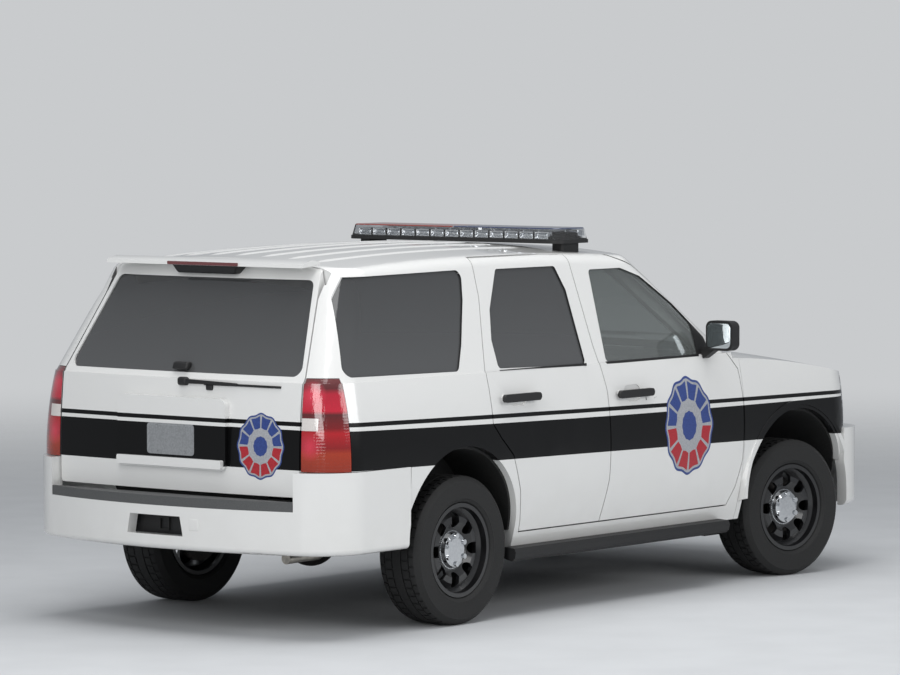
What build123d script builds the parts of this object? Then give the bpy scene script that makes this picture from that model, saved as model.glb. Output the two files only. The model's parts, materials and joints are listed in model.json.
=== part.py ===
from build123d import *
import math
import os

os.makedirs("parts", exist_ok=True)

# Main sizes, in millimetres: +X forward, +Y to the left, +Z up, ground at Z 0
FRONT_AXLE_X = 1572
REAR_AXLE_X = -1374
FRONT_WHEEL_Y = 866
REAR_WHEEL_Y = 851
KINGPIN_Y = 800
STEER_AS_PARKED = -10
TYRE_RADIUS = 371
HUB_Z = TYRE_RADIUS
FRONT_END_X = 2565
REAR_END_X = -2565

# Body walls: depth below the outer skin of each layer
SKIN = 16
GLASS_OUT = 9
GLASS_IN = 14
FRAME = 50
RING_OUT = 72
RING_IN = 112
PANEL = 36
SHUT_GAP = 7
SIDE_INNER_Y = 550
SIDE_OUTER_Y = 1150
FIT_GAP = 0.3
GLASS_GAP = 0.5
BELT_Z = 1240
ROOF_Z = 1856
ROOF_X = -850
ROOF_SPAN_R = 19000
ROOF_CROSS_R = 6200
ROOF_EDGE_R = 80
HOOD_AXIS_X = 727
HOOD_AXIS_Z = -5724
HOOD_R = 7000
HOOD_CROSS_R = 7500
CROWN_ARC = 34

# Plan outlines of the body at each height
# Columns: height, rear middle x, rear corner x and y, rear end of side, half width,
# front end of side, front corner x and y, front middle x
LOWER_LEVELS = [
    (340, -2400, -2355, 760, -2152, 925, 1930, 2150, 790, 2380),
    (850, -2425, -2385, 820, -2170, 1000, 1930, 2195, 840, 2430),
    (1290, -2400, -2360, 772, -2160, 933, 1900, 2140, 780, 2380),
]
UPPER_LEVELS = [
    (BELT_Z, -2398, -2360, 774, -2162, 943, 860, 1085, 760, 1190),
    (1900, -2055, -2005, 591, -1812, 752, 0, 196, 591, 284),
]


def plan_face(level, inset):
    z, rear, rear_x, rear_y, side_back, half, side_front, front_x, front_y, front = level
    y = half - inset
    with BuildSketch(Plane.XY.offset(z)) as plan:
        with BuildLine():
            ThreePointArc(
                (rear_x + inset, inset - rear_y), (rear + inset, 0), (rear_x + inset, rear_y - inset)
            )
            TangentArc((side_back, y), (rear_x + inset, rear_y - inset), tangent=(-1, 0))
            Line((side_back, y), (side_front, y))
            TangentArc((side_front, y), (front_x - inset, front_y - inset), tangent=(1, 0))
            ThreePointArc(
                (front_x - inset, front_y - inset), (front - inset, 0), (front_x - inset, inset - front_y)
            )
            TangentArc((side_front, -y), (front_x - inset, inset - front_y), tangent=(1, 0))
            Line((side_front, -y), (side_back, -y))
            TangentArc((side_back, -y), (rear_x + inset, inset - rear_y), tangent=(-1, 0))
        make_face()
    return plan.sketch


def crowned_block(axis_x, axis_z, span_r, cross_r, half_width, depth):
    drop = cross_r - math.sqrt(cross_r**2 - half_width**2)
    lean = math.radians(CROWN_ARC / 2)
    start = Plane((axis_x, 0, axis_z), x_dir=(0, 1, 0), z_dir=(math.cos(lean), 0, math.sin(lean)))
    with BuildPart() as crowned:
        with BuildSketch(start):
            with BuildLine():
                ThreePointArc((-half_width, span_r - drop), (0, span_r), (half_width, span_r - drop))
                Polyline(
                    (half_width, span_r - drop),
                    (half_width, span_r - depth),
                    (-half_width, span_r - depth),
                    (-half_width, span_r - drop),
                )
            make_face()
        revolve(axis=Axis((axis_x, 0, axis_z), (0, 1, 0)), revolution_arc=CROWN_ARC)
    return crowned.part


def block(x0, x1, y0, y1, z0, z1):
    with BuildPart() as box:
        with BuildSketch(Plane.XY.offset(z0)):
            with Locations(((x0 + x1) / 2, (y0 + y1) / 2)):
                Rectangle(x1 - x0, y1 - y0)
        extrude(amount=z1 - z0)
    return box.part


def upper_volume(inset):
    with BuildPart() as upper:
        loft([plan_face(level, inset) for level in UPPER_LEVELS], ruled=True)
        add(
            crowned_block(ROOF_X, ROOF_Z - inset - ROOF_SPAN_R, ROOF_SPAN_R, ROOF_CROSS_R, 1200, 900),
            mode=Mode.INTERSECT,
        )
        if inset <= FRAME:
            rim = edges().filter_by(lambda e: e.bounding_box().min.Z > 1650)
            fillet(rim, ROOF_EDGE_R - inset)
    return upper.part


def lower_volume(inset):
    with BuildPart() as above_hood:
        add(block(1000, 2600, -1150, 1150, 900, 1500))
        add(
            crowned_block(HOOD_AXIS_X, HOOD_AXIS_Z - inset, HOOD_R, HOOD_CROSS_R, 1200, 1500),
            mode=Mode.SUBTRACT,
        )
    with BuildPart() as lower:
        loft([plan_face(level, inset) for level in LOWER_LEVELS])
        add(block(-3000, 1000, -1200, 1200, BELT_Z, 1500), mode=Mode.SUBTRACT)
        add(above_hood.part, mode=Mode.SUBTRACT)
    return lower.part


def outline(points, radius):
    with BuildSketch(Plane.XY) as face:
        with BuildLine():
            Polyline(*points, close=True)
        make_face()
        if radius:
            fillet(face.vertices(), radius)
    return face.sketch


def side_prism(points, radius, hole=(), hole_radius=22, inner=600):
    with BuildPart() as prism:
        with BuildSketch(Plane.XZ.offset(inner)):
            add(outline(points, radius))
            if hole:
                add(outline(hole, hole_radius), mode=Mode.SUBTRACT)
        extrude(amount=1200 - inner)
    return prism.part


def rear_prism(points, radius, front, back, hole=(), hole_radius=40):
    with BuildPart() as prism:
        with BuildSketch(Plane.YZ.offset(back)):
            add(outline(points, radius))
            if hole:
                add(outline(hole, hole_radius), mode=Mode.SUBTRACT)
        extrude(amount=front - back)
    return prism.part


def grown(points, amount):
    count = len(points)
    area = sum(points[i - 1][0] * points[i][1] - points[i][0] * points[i - 1][1] for i in range(count))
    turn = amount if area > 0 else -amount
    moved = []
    for i in range(count):
        (ax, ay), (bx, by), (cx, cy) = points[i - 1], points[i], points[(i + 1) % count]
        before = math.hypot(bx - ax, by - ay)
        after = math.hypot(cx - bx, cy - by)
        ux, uy = (bx - ax) / before, (by - ay) / before
        vx, vy = (cx - bx) / after, (cy - by) / after
        slant = turn / (1 + ux * vx + uy * vy)
        moved.append((bx + slant * (uy + vy), by - slant * (ux + vx)))
    return moved


def pick(piece, keep=(), cut=(), join=()):
    with BuildPart() as result:
        add(piece)
        for other in keep:
            add(other, mode=Mode.INTERSECT)
        for other in join:
            add(other)
        for other in cut:
            add(other, mode=Mode.SUBTRACT)
    return result.part


def other_side(piece):
    with BuildPart() as copy:
        mirror(piece, about=Plane.XZ)
    return copy.part


def both_sides(piece):
    with BuildPart() as pair:
        add(piece)
        mirror(about=Plane.XZ)
    return pair.part


LAYERS = (0, GLASS_OUT, GLASS_IN, SKIN, PANEL, FRAME, RING_OUT, RING_IN)
uppers = {inset: upper_volume(inset) for inset in LAYERS}
lowers = {inset: lower_volume(inset) for inset in LAYERS}
right_box = block(-2600, 2600, -SIDE_OUTER_Y, -SIDE_INNER_Y, 300, 1900)
rear_box = block(-2600, -1900, -SIDE_OUTER_Y, SIDE_OUTER_Y, 300, 1900)
right = {}
rear = {}
for layer in LAYERS:
    right[layer] = pick(pick(uppers[layer], keep=[right_box]), join=[pick(lowers[layer], keep=[right_box])])
    rear[layer] = pick(pick(uppers[layer], keep=[rear_box]), join=[pick(lowers[layer], keep=[rear_box])])


def layer_of(prism, volume, outer, inner):
    return pick(prism, keep=[volume[outer]], cut=[volume[inner]])


def side_layer(prism, outer, inner):
    return layer_of(prism, right, outer, inner)


def save(piece, name):
    piece.label = name
    export_step(piece, f"parts/{name}.step")


# Cut lines of the right-hand side, seen from the side as (x, z)
B_LINE = [(-200, 428), (-160, 640), (-165, 1100), (-210, 1330), (-255, 1800)]
FRONT_DOOR = [(x + SHUT_GAP / 2, z) for x, z in B_LINE] + [
    (60, 1800),
    (300, 1722),
    (545, 1580),
    (800, 1375),
    (960, 1232),
    (1032, 1150),
    (1050, 985),
    (1045, 660),
    (1005, 520),
    (950, 428),
]
REAR_DOOR = [(x - SHUT_GAP / 2, z) for x, z in B_LINE] + [
    (-1054, 1800),
    (-1062, 1605),
    (-1146, 1250),
    (-1143, 985),
    (-1085, 915),
    (-985, 820),
    (-915, 640),
    (-885, 484),
    (-880, 428),
]
FRONT_APERTURE = [(-105, 520), (-75, 700), (-80, 1100), (-150, 1725), (200, 1690), (850, 1215), (930, 1100)]
FRONT_APERTURE += [(940, 800), (900, 640), (840, 520)]
REAR_APERTURE = [(-285, 520), (-255, 700), (-262, 1100), (-335, 1725), (-960, 1725), (-1050, 1300)]
REAR_APERTURE += [(-1040, 1040), (-900, 880), (-810, 640), (-800, 520)]
FRONT_WINDOW = [(-128, 1244), (-102, 1715), (180, 1715), (340, 1667), (594, 1516), (790, 1330), (800, 1244)]
REAR_WINDOW = [(-306, 1238), (-332, 1618), (-385, 1742), (-880, 1742)]
REAR_WINDOW += [(-1000, 1545), (-1042, 1395), (-1035, 1253)]
QUARTER_WINDOW = [(-2235, 1266), (-2080, 1736), (-1160, 1747), (-1200, 1598), (-1291, 1381), (-1360, 1254)]
LIFTGATE = [(-774, 692), (-774, 1262), (-655, 1742), (-640, 1880)]
LIFTGATE += [(-y, z) for y, z in reversed(LIFTGATE)]
BACKLIGHT = [(-752, 1268), (-630, 1722), (630, 1722), (752, 1268)]
WINDSHIELD = [(-800, 1285), (-640, 1762), (640, 1762), (800, 1285)]
SIDE_CUT_Y = 690
DOOR_IN_Y = 742
ROOF_REAR_X = -2055
REAR_ARCH_R = 452
FRONT_ARCH_R = 478
FRONT_ARCH_X = 1578
ARCH_Z = 435
BUMPER_TOP_Z = 815
BUMPER_REAR_ARCH_X = -1812
LAMP_FRONT_X = -2252
LAMP_IN_Y = 785
HEADLAMP_X = 2045
HEADLAMP_Z = (785, 1062)
HEADLAMP_IN_Y = 590


def arch_prism(x, radius, inner, grow=0):
    with BuildPart() as arch:
        with BuildSketch(Plane.XZ.offset(inner)):
            with Locations((x, ARCH_Z)):
                Circle(radius + grow)
            with Locations((x, ARCH_Z - 200)):
                Rectangle(2 * (radius + grow), 400)
        extrude(amount=1200 - inner)
    return arch.part


def flare(x, radius):
    with BuildPart() as lip:
        with BuildSketch(Plane.XZ.offset(930)):
            with Locations((x, ARCH_Z)):
                Circle(radius + 62)
                Circle(radius, mode=Mode.SUBTRACT)
            with Locations((x, ARCH_Z - 500)):
                Rectangle(2400, 1000, mode=Mode.SUBTRACT)
        extrude(amount=73, taper=14)
    return lip.part


rear_arch = arch_prism(REAR_AXLE_X, REAR_ARCH_R, 640)
front_arch = arch_prism(FRONT_ARCH_X, FRONT_ARCH_R, 500)
right_half = block(-2600, 2600, -1200, -SIDE_CUT_Y, 300, 1900)
front_door_hole = side_prism(grown(FRONT_DOOR, SHUT_GAP), 0, inner=DOOR_IN_Y - SHUT_GAP)
rear_door_hole = side_prism(grown(REAR_DOOR, SHUT_GAP), 0, inner=DOOR_IN_Y - SHUT_GAP)
quarter_hole = side_prism(QUARTER_WINDOW, 40, inner=DOOR_IN_Y)
liftgate_hole = rear_prism(grown(LIFTGATE, SHUT_GAP), 20, -1960, -2700)

# Body sides: quarter panel, pillars, roof rail and sill of one side in one pressing
lamp_hole = block(-2600, LAMP_FRONT_X + 3, -1200, -LAMP_IN_Y + 3, BUMPER_TOP_Z, 1265)
bumper_hole = block(-2600, BUMPER_REAR_ARCH_X + 3, -1200, -600, 300, BUMPER_TOP_Z + 3)
side_right = pick(
    layer_of(right_half, right, 0, RING_IN),
    keep=[pick(block(-2600, 1057, -1200, 0, 300, 1900), join=[block(0, 1110, -1200, 0, 1215, 1900)])],
    cut=[
        side_prism(FRONT_APERTURE, 40),
        side_prism(REAR_APERTURE, 40),
        pick(rear_door_hole, cut=[right[RING_OUT]]),
        pick(front_door_hole, cut=[right[RING_OUT]]),
        rear_arch,
        front_arch,
        bumper_hole,
        liftgate_hole,
        pick(lamp_hole, cut=[right[RING_OUT]]),
        quarter_hole,
        rear_prism(WINDSHIELD, 60, 1400, 150),
        block(-2600, ROOF_REAR_X, -700, -600, 1700, 1900),
    ],
)
save(both_sides(side_right), "body_sides")

# Doors: outer skin, frame behind it and a deeper lower half that fills the opening
HANDLES = {"front": (52, 1075), "rear": (-927, 1106)}


def door(points, aperture, window, handle):
    hx, hz = handle
    with BuildPart() as strap:
        with BuildSketch(Plane.XZ.offset(996)):
            with Locations((hx, hz)):
                SlotOverall(300, 40)
        extrude(amount=22)
        with BuildSketch(Plane.XZ.offset(950)):
            with Locations((hx - 115, hz), (hx + 115, hz)):
                Circle(18)
        extrude(amount=50)
    with BuildPart() as cup:
        with BuildSketch(Plane.XZ.offset(972)):
            with Locations((hx, hz)):
                SlotOverall(150, 86)
        extrude(amount=60)
    lower = block(-1300, 1200, -1200, 0, 400, 1195)
    return pick(
        pick(side_layer(side_prism(points, 0, window, inner=DOOR_IN_Y), 0, SKIN), cut=[cup.part]),
        join=[
            side_layer(side_prism(grown(points, -9), 0, window, inner=DOOR_IN_Y), SKIN, FRAME),
            pick(side_layer(side_prism(grown(aperture, -24), 30), FRAME, RING_IN), keep=[lower]),
            strap.part,
        ],
    )


def pane(window, radius):
    return side_layer(side_prism(grown(window, -GLASS_GAP), radius, inner=DOOR_IN_Y), GLASS_OUT, GLASS_IN)


hinge_corner = block(999, 1060, -903, -600, 1130, 1300)
front_door = pick(door(FRONT_DOOR, FRONT_APERTURE, FRONT_WINDOW, HANDLES["front"]), cut=[hinge_corner])
rear_door = door(REAR_DOOR, REAR_APERTURE, REAR_WINDOW, HANDLES["rear"])
SAIL_X = 700
front_pane = pick(pane(FRONT_WINDOW, 22 - GLASS_GAP), cut=[block(SAIL_X, 900, -1200, 0, 1100, 1600)])
rear_pane = pane(REAR_WINDOW, 22 - GLASS_GAP)
for piece, name in (
    (front_door, "front_door"),
    (rear_door, "rear_door"),
    (front_pane, "front_door_glass"),
    (rear_pane, "rear_door_glass"),
):
    save(piece, f"{name}_right")
    save(other_side(piece), f"{name}_left")
save(both_sides(pane(QUARTER_WINDOW, 40 - GLASS_GAP)), "quarter_glass")

# Door mirrors on an arm from a plate in the front corner of each front window
sail = side_layer(side_prism(grown(FRONT_WINDOW, -FIT_GAP), 22 - FIT_GAP, inner=DOOR_IN_Y), 0, SKIN)
with BuildPart() as mirror_right:
    with BuildSketch(Plane.YZ.offset(712)):
        with Locations((-1068, 1345)):
            RectangleRounded(170, 158, 36)
    extrude(amount=88)
    fillet(mirror_right.faces().sort_by(Axis.X)[-1].edges(), 30)
    with BuildSketch(Plane.YZ.offset(728)):
        with BuildLine():
            Polyline((-900, 1216), (-900, 1262), (-1000, 1290), (-1060, 1290), (-960, 1222), close=True)
        make_face()
    extrude(amount=52)
    add(right[0], mode=Mode.SUBTRACT)
    add(pick(sail, keep=[block(SAIL_X, 900, -1200, 0, 1100, 1600)]))
save(mirror_right.part, "mirror_right")
save(other_side(mirror_right.part), "mirror_left")

# Roof, windshield and bulkhead
windshield_hole = rear_prism(WINDSHIELD, 60, 1400, 150)
roof = layer_of(block(ROOF_REAR_X, 700, -SIDE_CUT_Y, SIDE_CUT_Y, 1640, 1900), uppers, 0, FRAME)
save(pick(roof, cut=[windshield_hole]), "roof")
windshield_prism = rear_prism(grown(WINDSHIELD, -FIT_GAP), 60 - FIT_GAP, 1400, 150)
save(layer_of(windshield_prism, uppers, GLASS_OUT, GLASS_IN), "windshield")


def hood_prism(grow):
    with BuildPart() as prism:
        with BuildSketch(Plane.XY.offset(900)):
            with BuildLine():
                a = ThreePointArc((1130 - grow, -738 - grow), (1222 - grow, 0), (1130 - grow, 738 + grow))
                Polyline(a @ 1, (2600, 690 + grow), (2600, -690 - grow), a @ 0)
            make_face()
        extrude(amount=500)
    return prism.part


hood_region = pick(hood_prism(0), keep=[block(1000, 2600, -800, 800, 1068, 1400)])
hood = layer_of(hood_region, lowers, 0, PANEL)
save(hood, "hood")
cowl = pick(
    layer_of(block(1000, 1400, -SIDE_CUT_Y, SIDE_CUT_Y, BELT_Z, 1330), uppers, 0, FRAME),
    cut=[windshield_hole, hood_prism(SHUT_GAP)],
)
bulkhead = pick(block(945, 985, -900, 900, 475, BELT_Z), keep=[lowers[RING_IN]])
tray = block(945, 1120, -SIDE_CUT_Y, SIDE_CUT_Y, 1180, BELT_Z)
save(pick(bulkhead, join=[tray, cowl]), "bulkhead")

# Front fenders, headlamps and grille
front_bumper_hole = block(HEADLAMP_X - 19, 2600, -1200, 1200, 300, 780)
headlamp_hole = block(HEADLAMP_X, 2600, -1200, -HEADLAMP_IN_Y, HEADLAMP_Z[0] - 5, HEADLAMP_Z[1] + 3)
fender = pick(
    layer_of(block(1060, 2600, -1200, -600, 340, 1400), lowers, 0, PANEL),
    join=[flare(FRONT_ARCH_X, FRONT_ARCH_R)],
    cut=[
        hood_prism(SHUT_GAP),
        headlamp_hole,
        front_bumper_hole,
        front_arch,
        front_door_hole,
        block(1000, 1113, -1200, -500, 1212, 1400),
        block(1000, 2600, -SIDE_CUT_Y, 0, 300, 1400),
        block(900, 1060, -1200, 0, 300, 1400),
    ],
)
save(both_sides(fender), "front_fenders")
headlamp_region = block(HEADLAMP_X, 2600, -1200, -HEADLAMP_IN_Y, *HEADLAMP_Z)
headlamp = layer_of(headlamp_region, lowers, 0, RING_OUT)
save(both_sides(headlamp), "headlamps")
SLOTS = 5
SLOT_HEIGHT = 36
SLOT_PITCH = 51
with BuildPart() as grille_slots:
    with BuildSketch(Plane.YZ.offset(2100)):
        with Locations((0, (HEADLAMP_Z[0] + HEADLAMP_Z[1]) / 2)):
            with GridLocations(560, SLOT_PITCH, 2, SLOTS):
                RectangleRounded(530, SLOT_HEIGHT, 10)
    extrude(amount=500)
grille_region = block(2100, 2600, -HEADLAMP_IN_Y, HEADLAMP_IN_Y, *HEADLAMP_Z)
grille = layer_of(pick(grille_region, cut=[grille_slots.part]), lowers, 0, FRAME)
save(grille, "grille")


# Bumpers: bowed covers that wrap round each end
def bumper_block(ends, inset, z0, z1):
    middle, corner_x, corner_y, side_x, side_y, open_x = ends
    step = inset if middle < 0 else -inset
    lead = (-1, 0) if middle < 0 else (1, 0)
    with BuildPart() as cover:
        with BuildSketch(Plane.XY.offset(z0)):
            with BuildLine():
                y = side_y - inset
                cy = corner_y - inset
                ThreePointArc((corner_x + step, -cy), (middle + step, 0), (corner_x + step, cy))
                TangentArc((side_x, y), (corner_x + step, cy), tangent=lead)
                TangentArc((side_x, -y), (corner_x + step, -cy), tangent=lead)
                Polyline((side_x, y), (open_x, y), (open_x, -y), (side_x, -y))
            make_face()
        extrude(amount=z1 - z0)
    return cover.part


FRONT_COVER = (FRONT_END_X, 2300, 850, 2060, 1000, 2030)
REAR_COVER = (REAR_END_X, -2440, 810, -2160, 1000, -1815)
BUMPER_WALL = 60
with BuildPart() as front_bumper:
    add(bumper_block(FRONT_COVER, 0, 345, 777))
    fillet(front_bumper.faces().sort_by(Axis.Z)[0].edges().filter_by(GeomType.CIRCLE), 40)
    add(bumper_block(FRONT_COVER, BUMPER_WALL, 300, 900), mode=Mode.SUBTRACT)
    add(front_arch, mode=Mode.SUBTRACT)
    add(other_side(front_arch), mode=Mode.SUBTRACT)
    with BuildSketch(Plane.YZ.offset(2200)):
        with Locations((0, 480)):
            RectangleRounded(960, 110, 30)
    extrude(amount=500, mode=Mode.SUBTRACT)
    for side in (-467, 467):
        add(block(2300, 2440, side - 28, side + 28, 445, 500))
save(front_bumper.part, "front_bumper")

PAD_Y = 779
PAD_Z = (628, 675)
with BuildPart() as rear_bumper:
    add(bumper_block(REAR_COVER, 0, 415, BUMPER_TOP_Z))
    fillet(rear_bumper.faces().sort_by(Axis.Z)[0].edges().filter_by(GeomType.CIRCLE), 30)
    add(bumper_block(REAR_COVER, BUMPER_WALL, 300, 900), mode=Mode.SUBTRACT)
    add(block(-2700, -2000, -PAD_Y - 4, PAD_Y + 4, PAD_Z[0], 900), mode=Mode.SUBTRACT)
    add(rear_arch, mode=Mode.SUBTRACT)
    add(other_side(rear_arch), mode=Mode.SUBTRACT)
    with BuildSketch(Plane.YZ.offset(-2700)):
        with BuildLine():
            Polyline((-180, 485), (-161, 580), (161, 580), (180, 485), close=True)
        make_face()
    extrude(amount=500, mode=Mode.SUBTRACT)
    for side in (-467, 467):
        add(block(-2475, -2330, side - 28, side + 28, 525, 590))
save(rear_bumper.part, "rear_bumper")
step_pad = pick(bumper_block(REAR_COVER, 0, *PAD_Z), keep=[block(-2700, -2436, -PAD_Y, PAD_Y, 500, 800)])
save(step_pad, "step_pad")

# Tail lamps wrap the rear corners
lamp_region = block(-2600, LAMP_FRONT_X, -1200, -LAMP_IN_Y, BUMPER_TOP_Z + 3, 1262)
tail_lamp = layer_of(lamp_region, rear, 0, RING_OUT)
save(both_sides(tail_lamp), "tail_lamps")

# Liftgate with its window, spoiler, plate recess and pull bar
LIFTGATE_TOP_X = ROOF_REAR_X - SHUT_GAP
with BuildPart() as spoiler:
    with BuildSketch(Plane.XZ.offset(-635)):
        with BuildLine():
            Polyline((-2064, 1795), (-2064, 1812), (-2130, 1818), (-2196, 1800), (-2200, 1782), close=True)
        make_face()
    extrude(amount=1270)
PLATE_Z = 942
PLATE_HOLES = (178, 121)
PLATE_HOLE_R = 3.5
PLATE_HOLE_DEPTH = 34
PLATE_X = -2440
with BuildPart() as plate_panel:
    with BuildSketch(Plane.YZ.offset(PLATE_X)):
        with Locations((0, 975)):
            RectangleRounded(700, 350, 40)
    extrude(amount=45)
with BuildPart() as plate_holes:
    with BuildSketch(Plane.YZ.offset(PLATE_X - 10)):
        with Locations((0, PLATE_Z)):
            with GridLocations(*PLATE_HOLES, 2, 2):
                Circle(PLATE_HOLE_R)
    extrude(amount=10 + PLATE_HOLE_DEPTH)
liftgate = layer_of(rear_prism(LIFTGATE, 16, LIFTGATE_TOP_X, -2700, BACKLIGHT), rear, 0, FRAME)
liftgate = pick(
    liftgate,
    join=[spoiler.part, pick(plate_panel.part, cut=[rear[SKIN]])],
    cut=[plate_holes.part],
)
save(liftgate, "liftgate")
backlight_prism = rear_prism(grown(BACKLIGHT, -FIT_GAP), 40 - FIT_GAP, -1960, -2700)
backlight = layer_of(backlight_prism, rear, GLASS_OUT, GLASS_IN)
save(backlight, "liftgate_glass")
with BuildPart() as pull_bar:
    with BuildSketch(Plane.YZ.offset(-2462)):
        with Locations((0, 832)):
            RectangleRounded(676, 44, 10)
    extrude(amount=60)
    add(rear[0], mode=Mode.SUBTRACT)
    add(liftgate, mode=Mode.SUBTRACT)
save(pull_bar.part, "liftgate_pull")
with BuildPart() as stop_lamp:
    with BuildSketch(Plane.YZ.offset(-2206)):
        with Locations((0, 1791)):
            RectangleRounded(456, 16, 5)
    extrude(amount=5.8)
save(stop_lamp.part, "stop_lamp")

# Light bar on four feet across the roof
BAR_X = -73
BAR_HALF = 706
BAR_Z = (1848, 1866, 1928)
with BuildPart() as bar_base:
    with BuildSketch(Plane.XY.offset(BAR_Z[0])):
        with Locations((BAR_X, 0)):
            RectangleRounded(300, 2 * BAR_HALF, 60)
    extrude(amount=BAR_Z[1] - BAR_Z[0])
    with BuildSketch(Plane.XY.offset(1780)):
        with Locations((BAR_X, 640), (BAR_X, -640)):
            RectangleRounded(150, 70, 12)
    extrude(amount=BAR_Z[0] - 1780)
    add(uppers[0], mode=Mode.SUBTRACT)
save(bar_base.part, "light_bar_base")
with BuildPart() as bar_lens:
    with BuildSketch(Plane.XY.offset(BAR_Z[1])):
        with Locations((BAR_X, 0)):
            RectangleRounded(290, 2 * BAR_HALF - 10, 56)
    extrude(amount=BAR_Z[2] - BAR_Z[1], taper=16)
    fillet(bar_lens.faces().sort_by(Axis.Z)[-1].edges(), 10)
    with BuildSketch(Plane.XY.offset(BAR_Z[1] + 8)):
        with Locations((BAR_X, 0)):
            Rectangle(400, 8)
    extrude(amount=100, mode=Mode.SUBTRACT)
save(bar_lens.part, "light_bar_lens")

# Running boards under the sills, on brackets from the frame
RAIL_Y = (430, 505)
RAIL_BOTTOM_Z = 340
BOARD_SECTION = [(-1004, 300), (-1010, 330), (-1000, 350), (-936, 354)]
BOARD_SECTION += [(-932, 336), (-850, 334), (-850, 318), (-985, 284)]
with BuildPart() as board:
    with BuildSketch(Plane.YZ.offset(-985)):
        with BuildLine():
            Polyline(*BOARD_SECTION, close=True)
        make_face()
    extrude(amount=1890)
    with BuildSketch(Plane.XY.offset(318)):
        with Locations((-700, -655), (-50, -655), (600, -655)):
            Rectangle(60, 390)
    extrude(amount=RAIL_BOTTOM_Z - 318)
save(both_sides(board.part), "running_boards")

# Ladder frame: two rails that rise over the rear axle, cross members and a hitch receiver
RAIL_LINE = [(-2330, 560), (-1800, 560), (-1650, 620), (-1100, 620)]
RAIL_LINE += [(-900, 400), (1000, 400), (1200, 470), (2300, 470)]
RAIL_HALF = 60
FLOOR_Z = 475
HITCH_Z = 532
RECEIVER = 64
RECEIVER_HOLE = 51
PIN_R = 8
RECEIVER_X = -2490
rail_points = [(x, z + RAIL_HALF) for x, z in RAIL_LINE]
rail_points += [(x, z - RAIL_HALF) for x, z in reversed(RAIL_LINE)]
# Columns: x, underside z, height
CROSS_MEMBERS = [(-2300, 520, 60), (-1780, 560, 50), (-860, 436, 24)]
CROSS_MEMBERS += [(-300, 436, 24), (250, 436, 24), (2150, 440, 60)]
BODY_MOUNTS = (-800, -200, 400, 880)
with BuildPart() as frame:
    with BuildSketch(Plane.XZ.offset(RAIL_Y[0])):
        with BuildLine():
            Polyline(*rail_points, close=True)
        make_face()
    extrude(amount=RAIL_Y[1] - RAIL_Y[0])
    with BuildSketch(Plane.XY.offset(400 + RAIL_HALF)):
        with Locations([(x, -(RAIL_Y[0] + RAIL_Y[1]) / 2) for x in BODY_MOUNTS]):
            Circle(32)
    extrude(amount=FLOOR_Z - 400 - RAIL_HALF)
    add(block(1400, 1744, -RAIL_Y[1], -RAIL_Y[0], 195, 420))
    mirror(about=Plane.XZ)
    for x, z, height in CROSS_MEMBERS:
        add(block(x - 40, x + 40, -RAIL_Y[0], RAIL_Y[0], z, z + height))
    add(block(1400, 1744, -RAIL_Y[1], RAIL_Y[1], 195, 260))
    with BuildSketch(Plane.YZ.offset(RECEIVER_X)):
        with Locations((0, HITCH_Z)):
            RectangleRounded(RECEIVER, RECEIVER, 6)
    extrude(amount=-RECEIVER_X - 2270)
    with BuildSketch(Plane.YZ.offset(RECEIVER_X)):
        with Locations((0, HITCH_Z)):
            Rectangle(RECEIVER_HOLE, RECEIVER_HOLE)
    extrude(amount=200, mode=Mode.SUBTRACT)
    with Locations((RECEIVER_X + 60, 0, HITCH_Z)):
        Cylinder(PIN_R, 200, rotation=(90, 0, 0), mode=Mode.SUBTRACT)
save(frame.part, "frame")

# Floor: cabin floor, step and raised load floor with a rear sill
LOAD_Z = 700
with BuildPart() as floor:
    add(block(-850, 945, -900, 900, FLOOR_Z, FLOOR_Z + 30))
    add(block(-870, -850, -900, 900, FLOOR_Z, LOAD_Z + 30))
    add(block(-2290, -870, -900, 900, LOAD_Z, LOAD_Z + 30))
    add(block(-2330, -2290, -690, 690, 625, LOAD_Z + 30))
    add(lowers[RING_IN], mode=Mode.INTERSECT)
    add(rear_arch, mode=Mode.SUBTRACT)
    add(other_side(rear_arch), mode=Mode.SUBTRACT)
save(floor.part, "floor")


# Wheelhouse liners over each wheel
def liner(x, radius, inner, outer):
    with BuildPart() as arch:
        with BuildSketch(Plane.XZ.offset(inner)):
            with Locations((x, ARCH_Z)):
                Circle(radius)
                Circle(radius - 14, mode=Mode.SUBTRACT)
            with Locations((x, ARCH_Z - 500)):
                Rectangle(2400, 1000, mode=Mode.SUBTRACT)
        extrude(amount=outer - inner)
    return arch.part


rear_liner = pick(
    liner(REAR_AXLE_X, REAR_ARCH_R, 640, 960),
    join=[pick(rear_arch, keep=[block(-2000, -800, -654, -640, ARCH_Z, 1000)])],
)
rear_liner = pick(rear_liner, keep=[lowers[PANEL]])
front_liner = pick(liner(FRONT_ARCH_X, FRONT_ARCH_R, 520, 960), keep=[lowers[PANEL]])
save(both_sides(rear_liner), "rear_wheelhouses")
save(both_sides(front_liner), "front_wheelhouses")

# Engine and gearbox as plain blocks on two mounts
with BuildPart() as engine:
    add(block(1080, 1744, -260, 260, 372, 1040))
    add(block(480, 1080, -150, 150, 350, 470))
    add(block(1340, 1390, -RAIL_Y[0], RAIL_Y[0], 480, 520))
save(engine.part, "engine")

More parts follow.
